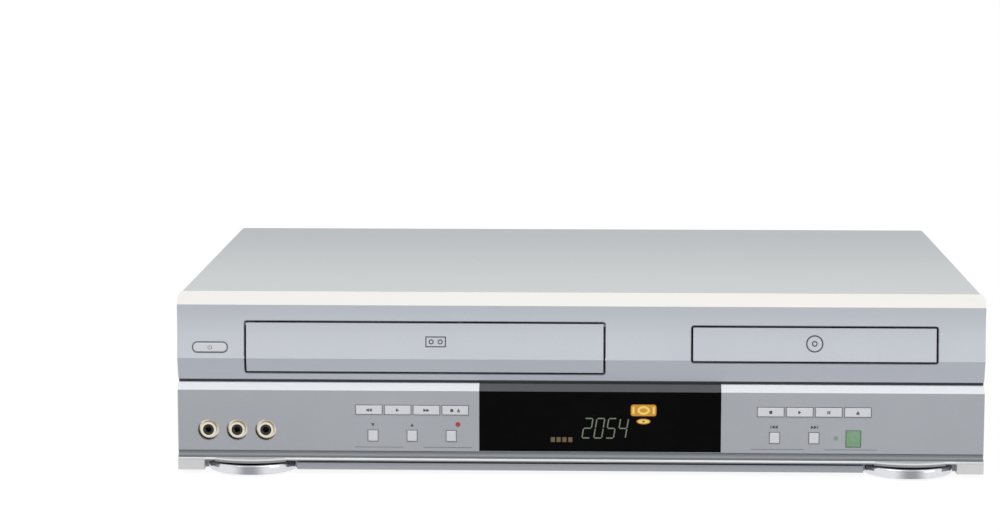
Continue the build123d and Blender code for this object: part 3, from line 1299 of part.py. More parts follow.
def tray_rack():
    """Toothed rack under the tray's left side."""
    x_pitch = rack_pitch_x()
    gear_y = gear_place()[1]
    root = x_pitch - 1.25 * RACK_MODULE
    tip = x_pitch + 0.9 * RACK_MODULE
    count = int(TRAY_TRAVEL / rack_pitch()) + 2 * LEAD_TEETH
    start = gear_y - LEAD_TEETH * rack_pitch()
    points = [(root - 2.4, start - rack_pitch() / 2), (root, start - rack_pitch() / 2)]
    for i in range(count):
        y = start + i * rack_pitch()
        points += [
            (root, y - tooth_half(-1.25 * RACK_MODULE)),
            (tip, y - tooth_half(0.9 * RACK_MODULE)),
            (tip, y + tooth_half(0.9 * RACK_MODULE)),
            (root, y + tooth_half(-1.25 * RACK_MODULE)),
        ]
    end = start + (count - 0.5) * rack_pitch()
    points += [(root, end), (root - 2.4, end)]
    return upright(closed(points), TRAY_BOTTOM - RACK_HEIGHT, TRAY_BOTTOM + 0.5)


def disc_tray():
    """Sliding tray with the two disc recesses, the pickup slot and the rack."""
    y0 = TRAY_FRONT
    y1 = TRAY_FRONT + TRAY_LENGTH
    half = TRAY_WIDTH / 2
    top = TRAY_BOTTOM + TRAY_THICK
    tray = block(DISC_X - half, DISC_X + half, y0, y1, TRAY_BOTTOM, top)
    tray = tray - post(DISC_RADIUS, DISC_X, spindle_y(), top - DISC_RECESS, top + 1)
    tray = tray - post(SMALL_DISC_RADIUS, DISC_X, spindle_y(), top - DISC_RECESS - 1.2, top + 1)
    slot = block(DISC_X - TRAY_SLOT / 2, DISC_X + TRAY_SLOT / 2, spindle_y(), y1 - 14,
                 TRAY_BOTTOM - 1, top + 1)
    slot = slot + post(TRAY_SLOT / 2, DISC_X, spindle_y(), TRAY_BOTTOM - 1, top + 1)
    tray = tray - slot
    for side in (-1, 1):
        notch_x = DISC_X + side * half
        tray = tray - block(notch_x - 9, notch_x + 9, spindle_y() - 14, spindle_y() + 14,
                            top - DISC_RECESS, top + 1)
    return tray + tray_rack()


def tray_gear():
    """Drive gear of the tray, in mesh with the rack."""
    gx, gy = gear_place()
    pitch_r = gear_radius()
    root_r = pitch_r - 1.25 * RACK_MODULE
    tip_r = pitch_r + 0.85 * RACK_MODULE
    half_pitch = math.pi / GEAR_TEETH / 2 - BACKLASH / 4 / pitch_r
    outline = []
    for i in range(GEAR_TEETH):
        middle = math.pi + math.pi / GEAR_TEETH + 2 * math.pi * i / GEAR_TEETH
        for r, half in ((root_r, half_pitch * 1.45), (pitch_r, half_pitch), (tip_r, half_pitch * 0.42)):
            outline.append((r, middle - half))
        for r, half in ((tip_r, half_pitch * 0.42), (pitch_r, half_pitch), (root_r, half_pitch * 1.45)):
            outline.append((r, middle + half))
    points = [(gx + r * math.cos(a), gy + r * math.sin(a)) for r, a in outline]
    wheel = upright(closed(points), TRAY_BOTTOM - RACK_HEIGHT, TRAY_BOTTOM - RUN_GAP)
    hub = post(5.0, gx, gy, LOADER_BOTTOM + LOADER_WALL + 6.3, TRAY_BOTTOM - RACK_HEIGHT)
    return wheel + hub - post(1.5 + PIN_PLAY, gx, gy, 0, HEIGHT)


def tray_gear_motor():
    """Closed gear motor under the drive gear, with the gear's shaft."""
    gx, gy = gear_place()
    z0 = LOADER_BOTTOM + LOADER_WALL
    box = block(gx - 9, gx + 25, gy - 8, gy + 8, z0, z0 + 6)
    can = post(GEAR_MOTOR_RADIUS, gx + GEAR_MOTOR_OFFSET, gy, z0 - 14, z0 + 1)
    shaft = post(1.5, gx, gy, z0 + 5, TRAY_BOTTOM - RUN_GAP)
    return joined([box, can, shaft])


def traverse():
    """Hinged plate that carries the spindle motor, the guide rods and the pickup."""
    sy = spindle_y()
    py = traverse_pivot_y()
    plate = block(DISC_X - 32, DISC_X + 32, sy - 22, py + 3, TRAVERSE_Z, TRAVERSE_Z + 2.0)
    plate = plate - block(DISC_X - 15, DISC_X + 15, sy + 20, py - 8, TRAVERSE_Z - 1, TRAVERSE_Z + 3)
    motor = post(13.0, DISC_X, sy, TRAVERSE_Z, TRAVERSE_Z + 5.0)
    axle = rod_x(2.0, py, TRAVERSE_Z + 1, DISC_X - 48.6, DISC_X + 48.6)
    body = joined([plate, motor, axle])
    for y in rod_seats():
        body = body + block(screw_x() - 3, DISC_X - ROD_SPAN / 2 + 3, y - 2, y + 2, TRAVERSE_Z + 1, rod_z() + 1.8)
        right = DISC_X + ROD_SPAN / 2
        body = body + block(right - 3, right + 3, y - 2, y + 2, TRAVERSE_Z + 1, rod_z() + 1.8)
    front, back = rod_seats()
    for x in row(DISC_X, ROD_SPAN, 2):
        body = body + rod_y(ROD_RADIUS, x, rod_z(), front, back)
    return body - rod_y(SCREW_RADIUS + PIN_PLAY, screw_x(), rod_z(), front - 3, back + 3)


def rod_seats():
    """Y of the two bearing blocks of the guide rods and the feed screw."""
    return spindle_y() + 19, traverse_pivot_y() - 5


def rod_z():
    return TRAVERSE_Z + 5.3


def screw_x():
    return DISC_X - ROD_SPAN / 2 - 5.6


def feed_screw():
    front, back = rod_seats()
    return rod_y(SCREW_RADIUS, screw_x(), rod_z(), front - 2.2, back + 2.2)


def turntable():
    """Disc turntable on the spindle motor."""
    sy = spindle_y()
    plate = post(TURNTABLE_RADIUS, DISC_X, sy, TURNTABLE_TOP - 3.4, TURNTABLE_TOP - 1.6)
    cone = post(7.3, DISC_X, sy, TURNTABLE_TOP - 1.6, TURNTABLE_TOP)
    cone = chamfer(cone.faces().sort_by(Axis.Z)[-1].edges(), 1.0)
    shaft = post(2.0, DISC_X, sy, TRAVERSE_Z + 5.0 + RUN_GAP, TURNTABLE_TOP - 3.0)
    return joined([plate, cone, shaft])


def optical_pickup():
    """Laser pickup that slides on the guide rods."""
    y0 = spindle_y() + PICKUP_START
    y1 = y0 + PICKUP_LENGTH
    z = rod_z()
    sled = block(DISC_X - 14, DISC_X + 14, y0, y1, z - 2.4, z + 3.0)
    arms = block(screw_x() - 2.6, DISC_X + ROD_SPAN / 2 + 3.4, y0 + 6, y1 - 6, z - 2.4, z + 2.4)
    lens = post(3.4, DISC_X, (y0 + y1) / 2 - 4, z + 2, z + 4.4)
    body = joined([sled, arms, lens])
    for x in row(DISC_X, ROD_SPAN, 2):
        body = body - rod_y(ROD_RADIUS + PIN_PLAY, x, z, y0 - 1, y1 + 1)
    return body - rod_y(SCREW_RADIUS + PIN_PLAY, screw_x(), z, y0 - 1, y1 + 1)


def clamp_bridge():
    """Steel bridge over the tray that holds the clamper."""
    sy = spindle_y()
    half = LOADER_HALF - LOADER_WALL
    plate = block(DISC_X - half, DISC_X + half, sy - 22, sy + 22, BRIDGE_Z, BRIDGE_Z + 1.2)
    plate = plate - post(CLAMPER_RADIUS + 0.4, DISC_X, sy, 0, HEIGHT)
    cage = post(CLAMPER_RADIUS + 2.4, DISC_X, sy, CLAMPER_BOTTOM + 2.0, BRIDGE_Z + 1.2)
    cage = cage - post(CLAMPER_RADIUS + 0.4, DISC_X, sy, CLAMPER_BOTTOM + 3.2, HEIGHT)
    cage = cage - post(CLAMPER_RADIUS - 2.0, DISC_X, sy, 0, HEIGHT)
    return plate + cage


def disc_clamper():
    """Magnetic clamper that rests in the bridge's cage."""
    sy = spindle_y()
    boss = post(CLAMPER_RADIUS - 2.6, DISC_X, sy, CLAMPER_BOTTOM, CLAMPER_BOTTOM + 4)
    flange = post(CLAMPER_RADIUS, DISC_X, sy, CLAMPER_BOTTOM + 3.2 + RUN_GAP, CLAMPER_BOTTOM + 5.4)
    return boss + flange


# ---------------------------------------------------------------- the whole set of nodes
FASCIA_KEY_NAMES = [
    "rewind_key", "tape_play_key", "fast_forward_key", "tape_stop_key",
    "channel_down_key", "channel_up_key", "record_key",
    "disc_stop_key", "disc_play_key", "pause_key", "open_close_key",
    "skip_back_key", "skip_forward_key", "scan_mode_key",
]


def build():
    parts = {
        "top_cover": top_cover(),
        "front_bezel": front_bezel(),
        "lower_fascia": lower_fascia(),
        "display_window": display_window(),
        "base_chassis": base_chassis() + foot_cores(),
        "rear_panel": rear_panel(),
        "case_screws": case_screws(),
        "foot_rings": foot_rings(),
        "foot_pads": foot_pads(),
        "cassette_door": cassette_door(),
        "tray_lid": tray_lid(),
        "power_key": power_key(),
        "lamp_lens": lamp_lens(),
        "front_board": group(front_board() + key_switches()),
        "display_tube": display_tube(),
        "front_jack_block": group([front_jack_block()] + jack_cores(-1)),
        "rear_connectors": group([rear_jack_block(), s_video_socket(), mains_inlet()] + jack_cores(1)),
        "jack_shells": jack_shells(),
        "tuner": group([tuner_can()] + antenna_sockets()),
        "main_board": clear_of_pillars(main_board()),
        "power_board": group([clear_of_pillars(power_board())] + power_parts()),
        "deck_chassis": group([deck_plate(), carriage_frame()]),
        "lower_drum": lower_drum(),
        "upper_drum": upper_drum(),
        "supply_reel_table": reel_table(CASSETTE_X - REEL_SPAN / 2),
        "takeup_reel_table": reel_table(CASSETTE_X + REEL_SPAN / 2),
        "capstan": capstan(),
        "clutch_pulley": clutch_pulley(),
        "drive_belt": drive_belt(),
        "supply_guide": tape_guide(-1),
        "takeup_guide": tape_guide(1),
        "pinch_arm": pinch_arm(),
        "pinch_roller": pinch_roller(),
        "tape_heads": tape_heads(),
        "loading_motor": loading_motor(),
        "cassette_holder": cassette_holder(),
        "holder_sledge": holder_sledge(),
        "loader_frame": loader_frame() + clamp_bridge(),
        "disc_tray": disc_tray(),
        "tray_gear": tray_gear(),
        "tray_gear_motor": tray_gear_motor(),
        "traverse": traverse(),
        "feed_screw": feed_screw(),
        "turntable": turntable(),
        "optical_pickup": optical_pickup(),
        "disc_clamper": disc_clamper(),
    }
    for name, shape in zip(FASCIA_KEY_NAMES, fascia_keys()):
        parts[name] = shape
    return parts


if __name__ == "__main__":
    os.makedirs("parts", exist_ok=True)
    for node, shape in build().items():
        export_step(shape, f"parts/{node}.step")
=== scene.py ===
"""Looks of a full-width disc player and video cassette recorder.

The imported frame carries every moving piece. This script gives each node the finish of its
real material, adds the printed symbols, the display's lit segments and the small fittings,
and sets the floor, the light and the camera. Sizes here are in millimetres, apart from those
of the studio, and the scene's unit is the metre.
"""

import json
import math

import bmesh
import bpy
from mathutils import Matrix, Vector


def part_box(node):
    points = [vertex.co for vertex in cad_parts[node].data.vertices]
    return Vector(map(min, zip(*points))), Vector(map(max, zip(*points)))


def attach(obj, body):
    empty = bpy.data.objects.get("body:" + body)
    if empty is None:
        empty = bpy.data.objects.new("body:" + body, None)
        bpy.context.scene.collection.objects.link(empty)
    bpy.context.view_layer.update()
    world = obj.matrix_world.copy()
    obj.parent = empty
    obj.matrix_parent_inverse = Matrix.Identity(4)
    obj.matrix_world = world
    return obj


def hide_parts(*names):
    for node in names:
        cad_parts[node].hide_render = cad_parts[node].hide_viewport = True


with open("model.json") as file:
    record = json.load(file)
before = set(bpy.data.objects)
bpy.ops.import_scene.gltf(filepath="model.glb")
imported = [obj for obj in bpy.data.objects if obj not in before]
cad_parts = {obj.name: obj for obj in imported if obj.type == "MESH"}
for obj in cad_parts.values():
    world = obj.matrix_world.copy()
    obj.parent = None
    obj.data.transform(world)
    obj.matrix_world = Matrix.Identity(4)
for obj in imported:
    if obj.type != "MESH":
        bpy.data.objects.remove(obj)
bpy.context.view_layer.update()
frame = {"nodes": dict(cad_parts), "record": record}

MM = 0.001

# ---------------------------------------------------------------- places on the object


def span(name):
    """Lowest and highest corner of a node, in millimetres."""
    low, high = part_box(name)
    return [v / MM for v in low], [v / MM for v in high]


WINDOW_LOW, WINDOW_HIGH = span("display_window")
COVER_HIGH = span("top_cover")[1]
SIDE, REAR, TOP = COVER_HIGH
WINDOW_SET_BACK = 0.1  # the window's face lies this far behind the fascia's
FACE = WINDOW_LOW[1] - WINDOW_SET_BACK  # Y of the fascia's flat face
STRIP = 91.5  # foot of the bright strip
UPPER_SHADE_FROM = 70  # height from which painted shade darkens the upper front towards the strip
RIDGE = 62.8  # height at which the upper front comes furthest forward
HEEL = 51.2  # underside of the upper front
SLOPE = HEEL - 5.6  # foot of the fascia's slope
STEP = 12.9  # foot of the fascia's flat face
NOSE_TOP, NOSE_FOOT = 9.3, 8.2  # rounded nose of the fascia's ledge
LEDGE = 6.8  # underside of the ledge
TOE = 6.4  # top of the front moulding's toe
RECESS = FACE + 4.6  # Y behind which the front moulding carries painted shade
FLANK = SIDE + 0.95  # X just inside the front moulding's outer side
END_BLOCK = SIDE - 13.5  # X of the inner faces of the fascia's end blocks
WINDOW_BEVEL = 3.5  # height of the window's top bevel, which carries a painted reflection
PRINT = 0.05  # thickness of printed ink
PROUD = 0.01  # ink lies this far off the surface under it


# ---------------------------------------------------------------- colour and node helpers
def tint(code):
    """sRGB hex value as linear RGBA."""
    parts = [int(code[i:i + 2], 16) / 255 for i in (1, 3, 5)]
    return tuple(c / 12.92 if c <= 0.04045 else ((c + 0.055) / 1.055) ** 2.4
                 for c in parts) + (1.0,)


def node(tree, kind, inputs=None, **settings):
    """Adds a node, with its settings, and its inputs as values or links."""
    made = tree.nodes.new(kind)
    for key, value in settings.items():
        setattr(made, key, value)
    for key, value in (inputs or {}).items():
        if isinstance(value, bpy.types.NodeSocket):
            tree.links.new(value, made.inputs[key])
        else:
            made.inputs[key].default_value = value
    return made


def sums(tree, operation, *values):
    """Result of a math node on values or links."""
    return node(tree, "ShaderNodeMath", dict(enumerate(values)), operation=operation).outputs[0]


def blend(tree, share, first, second):
    """Colour between two others, at a share from 0 to 1."""
    return node(tree, "ShaderNodeMix", {"Factor": share, 6: first, 7: second},
                data_type="RGBA").outputs[2]


def position(tree):
    """X, Y and Z of the shaded point in the object's own frame."""
    place = node(tree, "ShaderNodeTexCoord").outputs["Object"]
    return node(tree, "ShaderNodeSeparateXYZ", {0: place}).outputs


def blank(name):
    """New material with an output and a principled shader."""
    material = bpy.data.materials.new(name)
    material.use_nodes = True
    tree = material.node_tree
    tree.nodes.clear()
    shader = node(tree, "ShaderNodeBsdfPrincipled")
    node(tree, "ShaderNodeOutputMaterial", {"Surface": shader.outputs["BSDF"]})
    return material, tree, shader


BROAD = 45  # size of the slow unevenness that every finish has
MOTTLE = (0.12, 0.38)  # range of the fine noise times the broad one


def surface(name, light, dark, grain, bump, rough, spread=0.06, metallic=0.0, stretch=(1, 1, 1)):
    """Material mottled between two colours, with grain of a real size in mm and its relief in mm.

    It comes with its tree and its shader, so that other tones can be laid over it."""
    material, tree, shader = blank(name)
    place = node(tree, "ShaderNodeTexCoord").outputs["Object"]
    stretched = node(tree, "ShaderNodeMapping", {"Vector": place, "Scale": stretch})
    fine = node(tree, "ShaderNodeTexNoise", {"Vector": stretched.outputs["Vector"],
                                             "Scale": 1 / (grain * MM), "Detail": 3.0})
    broad = node(tree, "ShaderNodeTexNoise", {"Vector": place, "Scale": 1 / (BROAD * MM),
                                              "Detail": 2.0})
    fine, broad = fine.outputs["Fac"], broad.outputs["Fac"]
    share = node(tree, "ShaderNodeMapRange", {"Value": sums(tree, "MULTIPLY", fine, broad),
                                              "From Min": MOTTLE[0], "From Max": MOTTLE[1]})
    colour = blend(tree, share.outputs[0], tint(dark), tint(light))
    gloss = node(tree, "ShaderNodeMapRange", {"Value": fine, "To Min": max(rough - spread, 0.02),
                                              "To Max": rough + spread})
    relief = node(tree, "ShaderNodeBump", {"Height": fine, "Distance": bump * MM,
                                           "Strength": 0.6})
    tree.links.new(colour, shader.inputs["Base Color"])
    tree.links.new(gloss.outputs[0], shader.inputs["Roughness"])
    tree.links.new(relief.outputs["Normal"], shader.inputs["Normal"])
    shader.inputs["Metallic"].default_value = metallic
    return material, tree, shader


def recoloured(made, share, code):
    """Lays another colour over a finish, as far as a share from 0 to 1 says."""
    material, tree, shader = made
    before = shader.inputs["Base Color"].links[0].from_socket
    tree.links.new(blend(tree, share, before, tint(code)), shader.inputs["Base Color"])
    return made


def toned(made, code, low, high, behind=None, beyond=None, within=None):
    """Another colour between two heights in mm, if asked only behind a Y, or beyond or within
    a distance from the middle plane."""
    tree = made[1]
    place = position(tree)
    tests = [("GREATER_THAN", place["Z"], low), ("LESS_THAN", place["Z"], high)]
    if behind is not None:
        tests.append(("GREATER_THAN", place["Y"], behind))
    if beyond is not None:
        tests.append(("GREATER_THAN", sums(tree, "ABSOLUTE", place["X"]), beyond))
    if within is not None:
        tests.append(("LESS_THAN", sums(tree, "ABSOLUTE", place["X"]), within))
    share = 1.0
    for operation, value, limit in tests:
        share = sums(tree, "MULTIPLY", share, sums(tree, operation, value, limit * MM))
    return recoloured(made, share, code)


def faded(made, code, axis, start, stop):
    """Lets the colour pass slowly into another one, between two places in mm along an axis."""
    tree = made[1]
    share = node(tree, "ShaderNodeMapRange", {"Value": position(tree)[axis],
                                              "From Min": start * MM, "From Max": stop * MM},
                 interpolation_type="SMOOTHSTEP")
    return recoloured(made, share.outputs[0], code)


# ---------------------------------------------------------------- materials of the outside
def baked_cover_paint():
    """Baked fine-texture paint on steel: pale grey with a dry grain, with painted shade deepening
    it towards the back.
    """
    made = surface("baked_cover_paint", "#cdd1d2", "#cacfd0", 0.9, 0.02, 0.50, metallic=0.15)
    # Painted shade: the colour deepens towards the back, where the softbox's light falls off.
    return faded(made, "#babfc3", "Y", FACE + 20, REAR)[0]


def satin_silver_paint():
    """Silver paint on a moulding: cool, with aluminium flake too fine to see singly.

    The sloping top strip is masked and sprayed warm white. Painted shade darkens the front towards
    the strip and under the ridge, the toe under the ledge, and the recess in the seam under the
    heel."""
    made = surface("satin_silver_paint", "#c8ccd3", "#c3c7cf", 0.7, 0.006, 0.40, metallic=0.25)
    # Painted shade: darker from the middle of the upper front up to the strip.
    faded(made, "#b6bac2", "Z", UPPER_SHADE_FROM, STRIP + 4)
    toned(made, "#e4e2de", STRIP - 0.1, TOP + 1)
    # Painted shade: the face under the ridge leans down, away from the light above.
    toned(made, "#b3b8c1", HEEL - 0.4, RIDGE - 0.1)
    # Painted shade on the toe under the ledge's overhang.
    toned(made, "#a4a8ae", 0, TOE)
    # Painted shade: the recessed wall in the seam between the upper front and the fascia is painted
    # dark.
    toned(made, "#3f4146", TOE, HEEL, behind=RECESS, within=FLANK)
    return made[0]


def fascia_silver_paint():
    """Satin silver paint of the lower fascia, greyer than the upper front and paler on its end
    blocks, with a painted highlight on its slope and its ledge's nose, and painted shade in the
    hollow over the ledge and under the nose."""
    made = surface("fascia_silver_paint", "#a9acb2", "#a4a7ad", 0.7, 0.006, 0.38, metallic=0.25)
    # Painted highlight: the slope catches the overhead light.
    toned(made, "#e8eaee", SLOPE, HEEL)
    # Painted shade in the hollow over the ledge, under the fascia's face.
    toned(made, "#7b7e82", NOSE_TOP, STEP)
    # Painted highlight along the ledge's rounded nose.
    toned(made, "#e2e3e1", NOSE_FOOT, NOSE_TOP)
    # Painted shade under the ledge's nose.
    toned(made, "#8b8e93", LEDGE, NOSE_FOOT)
    toned(made, "#d3d4d3", 0, NOSE_TOP, beyond=END_BLOCK)
    return made[0]


def key_silver_paint():
    """Bright silver paint of the key caps, smooth from a polished mould."""
    return surface("key_silver_paint", "#d6d7dc", "#d2d3d8", 0.5, 0.001, 0.30, spread=0.02,
                   metallic=0.15)[0]


def smoked_acrylic():
    """Smoked acrylic with a hard anti-reflection coat: black, with a painted grey reflection on its
    top bevel.
    """
    made = surface("smoked_acrylic", "#070708", "#040405", 6.0, 0.001, 0.10, spread=0.02)
    made[2].inputs["IOR"].default_value = 1.49
    made[2].inputs["Specular IOR Level"].default_value = 0.03
    # Painted reflection: the top bevel shows grey where it mirrors the room.
    return toned(made, "#5c5e60", WINDOW_HIGH[2] - WINDOW_BEVEL, WINDOW_HIGH[2] + 1)[0]


def green_acrylic():
    """Tinted translucent acrylic over a green lamp: a soft glow from within."""
    material, tree, shader = surface("green_acrylic", "#7da082", "#6d9372", 2.5, 0.002, 0.26)
    shader.inputs["Emission Color"].default_value = tint("#86d48b")
    shader.inputs["Emission Strength"].default_value = 0.04
    shader.inputs["Subsurface Weight"].default_value = 0.15
    shader.inputs["Subsurface Scale"].default_value = 1.5 * MM
    return material


def bright_chrome():
    """Decorative chromium plate on a moulded ring: mirror bright with faint polishing marks.

    Where the ring faces straight ahead it mirrors the dark of the room, so it is deeper there."""
    made = surface("bright_chrome", "#e2e3e7", "#d8d9de", 0.8, 0.001, 0.12, spread=0.03,
                   metallic=1.0)
    tree = made[1]
    facing = node(tree, "ShaderNodeNewGeometry").outputs["Normal"]
    sideways = node(tree, "ShaderNodeSeparateXYZ", {0: facing}).outputs["X"]
    ahead = node(tree, "ShaderNodeMapRange", {"Value": sums(tree, "ABSOLUTE", sideways),
                                              "From Min": 0.40, "From Max": 0.05},
                 interpolation_type="SMOOTHSTEP")
    return recoloured(made, ahead.outputs[0], "#94969b")[0]


def nickel_plate():
    """Barrel-plated nickel: warm, bright, lightly scuffed."""
    return surface("nickel_plate", "#efe8d8", "#dcd3c0", 0.6, 0.004, 0.24, metallic=1.0)[0]


def black_abs():
    """Spark-eroded black ABS: fine matt grain."""
    return surface("black_abs", "#232325", "#1a1a1c", 0.6, 0.03, 0.52)[0]


def matt_black_paint():
    """Baked matt black paint on steel sheet."""
    return surface("matt_black_paint", "#2b2b2d", "#222224", 0.5, 0.015, 0.48)[0]


def black_oxide():
    """Blackened screw steel with an oily sheen."""
    return surface("black_oxide", "#3a3a3d", "#2a2a2c", 0.4, 0.006, 0.36, metallic=0.85)[0]


def moulded_rubber():
    """Moulded rubber: dull, dusty black."""
    return surface("moulded_rubber", "#2a2a2a", "#1e1e1e", 0.8, 0.02, 0.82)[0]


# ---------------------------------------------------------------- materials of the inside
TRACK_PITCH = 22  # length of the mesh that the copper tracks make


def laminate(name, light, dark):
    """Paper laminate under solder mask: copper tracks show through as a paler net."""
    material, tree, shader = surface(name, light, dark, 1.4, 0.01, 0.40)
    place = node(tree, "ShaderNodeTexCoord").outputs["Object"]
    net = node(tree, "ShaderNodeTexBrick", {
        "Vector": place, "Scale": 1 / (TRACK_PITCH * MM), "Mortar Size": 0.03,
        "Color1": tint(dark), "Color2": tint(light), "Mortar": tint("#8a9a55")})
    tree.links.new(net.outputs["Color"], shader.inputs["Base Color"])
    return material


def rolled_steel(name, light, dark, rough=0.34):
    """Zinc-coated or nickelled sheet, rolled: streaks along its length."""
    return surface(name, light, dark, 0.5, 0.004, rough, metallic=1.0,
                   stretch=(1.0, 0.08, 1.0))[0]


def turned_metal(name, light, dark, rough=0.22):
    """Turned or ground metal: fine rings."""
    return surface(name, light, dark, 0.3, 0.003, rough, metallic=1.0,
                   stretch=(0.1, 0.1, 1.0))[0]


def moulded(name, light, dark, rough=0.45):
    """Moulded engineering plastic with a light mould grain."""
    return surface(name, light, dark, 0.8, 0.012, rough)[0]


def ink(name, light, dark):
    """Screen-printed ink: flat, a little uneven in cover."""
    return surface(name, light, dark, 0.3, 0.002, 0.55)[0]


def glowing(name, code, strength):
    """Lit phosphor behind the smoked window."""
    material, tree, shader = surface(name, code, code, 0.4, 0.001, 0.4)
    shader.inputs["Emission Color"].default_value = tint(code)
    shader.inputs["Emission Strength"].default_value = strength
    return material


SLOT_FINISH = {
    "cover_paint": baked_cover_paint(),
    "silver_paint": satin_silver_paint(),
    "fascia_silver": fascia_silver_paint(),
    "smoked_window": smoked_acrylic(),
    "black_moulding": black_abs(),
    "rear_steel": matt_black_paint(),
    "screw_steel": black_oxide(),
    "foot_chrome": bright_chrome(),
    "foot_rubber": moulded_rubber(),
    "key_silver": key_silver_paint(),
    "key_green": green_acrylic(),
    "lamp_green": green_acrylic(),
    "circuit_board": laminate("solder_masked_laminate", "#4f7a3a", "#3f6a30"),
    "tube_glass": moulded("display_tube_glass", "#3b3c40", "#2f3034", 0.12),
    "jack_nickel": nickel_plate(),
    "tin_plate": rolled_steel("tin_plate", "#c9c9c6", "#b4b4b0"),
    "zinc_steel": rolled_steel("zinc_coated_steel", "#c6c8c6", "#adafab", 0.38),
    "drum_aluminium": turned_metal("turned_aluminium", "#dcdde0", "#c6c8cb"),
    "reel_black": moulded("moulded_acetal_black", "#2c2c2e", "#202022"),
    "capstan_steel": turned_metal("ground_steel", "#d6d6d4", "#bdbdbb", 0.16),
    "belt_rubber": moulded_rubber(),
    "guide_steel": turned_metal("polished_guide_steel", "#dedede", "#c9c9c9", 0.12),
    "roller_rubber": moulded_rubber(),
    "head_alloy": turned_metal("lapped_head_alloy", "#c9c7bf", "#b3b1a8"),
    "motor_steel": rolled_steel("nickelled_can", "#c8c8c4", "#b0b0ab"),
    "loader_black": moulded("moulded_loader_plastic", "#29292b", "#1e1e20"),
    "tray_black": moulded("grained_tray_plastic", "#303033", "#262628", 0.5),
    "gear_white": moulded("natural_acetal", "#ebe8de", "#dedace", 0.4),
    "traverse_steel": rolled_steel("pressed_traverse_steel", "#bdbdb9", "#a3a39f", 0.4),
    "pickup_zinc": turned_metal("die_cast_zinc", "#a6a7a9", "#8e8f92", 0.42),
}
PRINT_DARK = ink("dark_print", "#3d3f44", "#35373b")
PRINT_GREY = ink("grey_print", "#7c7f84", "#74777c")
PRINT_RED = ink("red_print", "#b4404a", "#a63a44")
# Painted shade for the dark bands round the openings, laid as thin ink.
PAINTED_EDGE_SHADE = ink("painted_edge_shade", "#6c7079", "#656971")
GLOW_SEGMENT = glowing("segment_glow", "#69755f", 0.15)
GLOW_AMBER = glowing("amber_glow", "#b9801f", 0.30)
GLOW_PALE = glowing("pale_amber_glow", "#d8bf62", 0.30)
GLOW_DIM = glowing("dim_amber_glow", "#5a4c34", 0.15)


def finish_nodes():
    """Gives every CAD node the material of its slot."""
    for part in frame["record"]["subparts"]:
        made = frame["nodes"][part["node"]]
        made.data.materials.clear()
        made.data.materials.append(SLOT_FINISH[part["material_slot"]])


# ---------------------------------------------------------------- mesh helpers
WELD = 0.001  # corners closer than this are one
SHARP = 35  # degrees, edges steeper than this stay sharp on a smooth piece


def piece(name, verts, faces, material, body="root", smooth=False):
    """Mesh piece from corners in millimetres, riding on a body."""
    mesh = bpy.data.meshes.new(name)
    mesh.from_pydata([Vector(v) * MM for v in verts], [], faces)
    welded = bmesh.new()
    welded.from_mesh(mesh)
    bmesh.ops.remove_doubles(welded, verts=welded.verts, dist=WELD * MM)
    bmesh.ops.recalc_face_normals(welded, faces=welded.faces)
    welded.to_mesh(mesh)
    welded.free()
    if smooth:
        mesh.shade_smooth()
        mesh.set_sharp_from_angle(angle=math.radians(SHARP))
    mesh.materials.append(material)
    made = bpy.data.objects.new(name, mesh)
    bpy.context.scene.collection.objects.link(made)
    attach(made, body)
    return made


def several(shapes):
    """Corners and faces of several shapes together."""
    verts, faces = [], []
    for more_verts, more_faces in shapes:
        faces += [tuple(i + len(verts) for i in face) for face in more_faces]
        verts += more_verts
    return verts, faces


def prism(front, back):
    """Closed shape between two outlines of equal count, from the front one to the back one."""
    n = len(front)
    faces = [tuple(range(n)), tuple(range(2 * n - 1, n - 1, -1))]
    faces += [(i, (i + 1) % n, n + (i + 1) % n, n + i) for i in range(n)]
    return front + back, faces


def turned(profile, centre, axis, steps=64):
    """Closed profile of (radius, height) points turned round an axis through the centre."""
    along = Vector(axis).normalized()
    side = along.orthogonal().normalized()
    up = along.cross(side)
    verts, faces = [], []
    n = len(profile)
    for i in range(steps):
        angle = 2 * math.pi * i / steps
        out = side * math.cos(angle) + up * math.sin(angle)
        verts += [tuple(Vector(centre) + out * r + along * h) for r, h in profile]
    for i in range(steps):
        a, b = i * n, (i + 1) % steps * n
        faces += [(a + j, a + (j + 1) % n, b + (j + 1) % n, b + j) for j in range(n)]
    return verts, faces


def oval(x, z, rx, rz, steps=24):
    """Oval as (X, Z) points."""
    angles = [2 * math.pi * i / steps for i in range(steps)]
    return [(x + rx * math.cos(a), z + rz * math.sin(a)) for a in angles]


def box_outline(x, z, width, height):
    """Rectangle round a place as (X, Z) points."""
    return [(x - width / 2, z - height / 2), (x + width / 2, z - height / 2),
            (x + width / 2, z + height / 2), (x - width / 2, z + height / 2)]


def rounded_outline(x0, x1, z0, z1, corner, steps=5):
    """Rounded rectangle as (X, Z) points, from its lower right corner round against the clock."""
    points = []
    for cx, cz, start in ((x1 - corner, z0 + corner, -90), (x1 - corner, z1 - corner, 0),
                          (x0 + corner, z1 - corner, 90), (x0 + corner, z0 + corner, 180)):
        for i in range(steps + 1):
            angle = math.radians(start + 90 * i / steps)
            points.append((cx + corner * math.cos(angle), cz + corner * math.sin(angle)))
    return points


def ring_of(x, z, radius, width, steps=40):
    """Outlines of short pieces that together make a round line."""
    angles = [2 * math.pi * i / steps for i in range(steps + 1)]
    inner = radius - width
    return [[(x + r * math.cos(a), z + r * math.sin(a))
             for r, a in ((radius, first), (radius, last), (inner, last), (inner, first))]
            for first, last in zip(angles, angles[1:])]


def centre_of(name):
    """X and Z of a node's middle and the Y of its front, in millimetres."""
    low, high = span(name)
    return (low[0] + high[0]) / 2, (low[2] + high[2]) / 2, low[1]


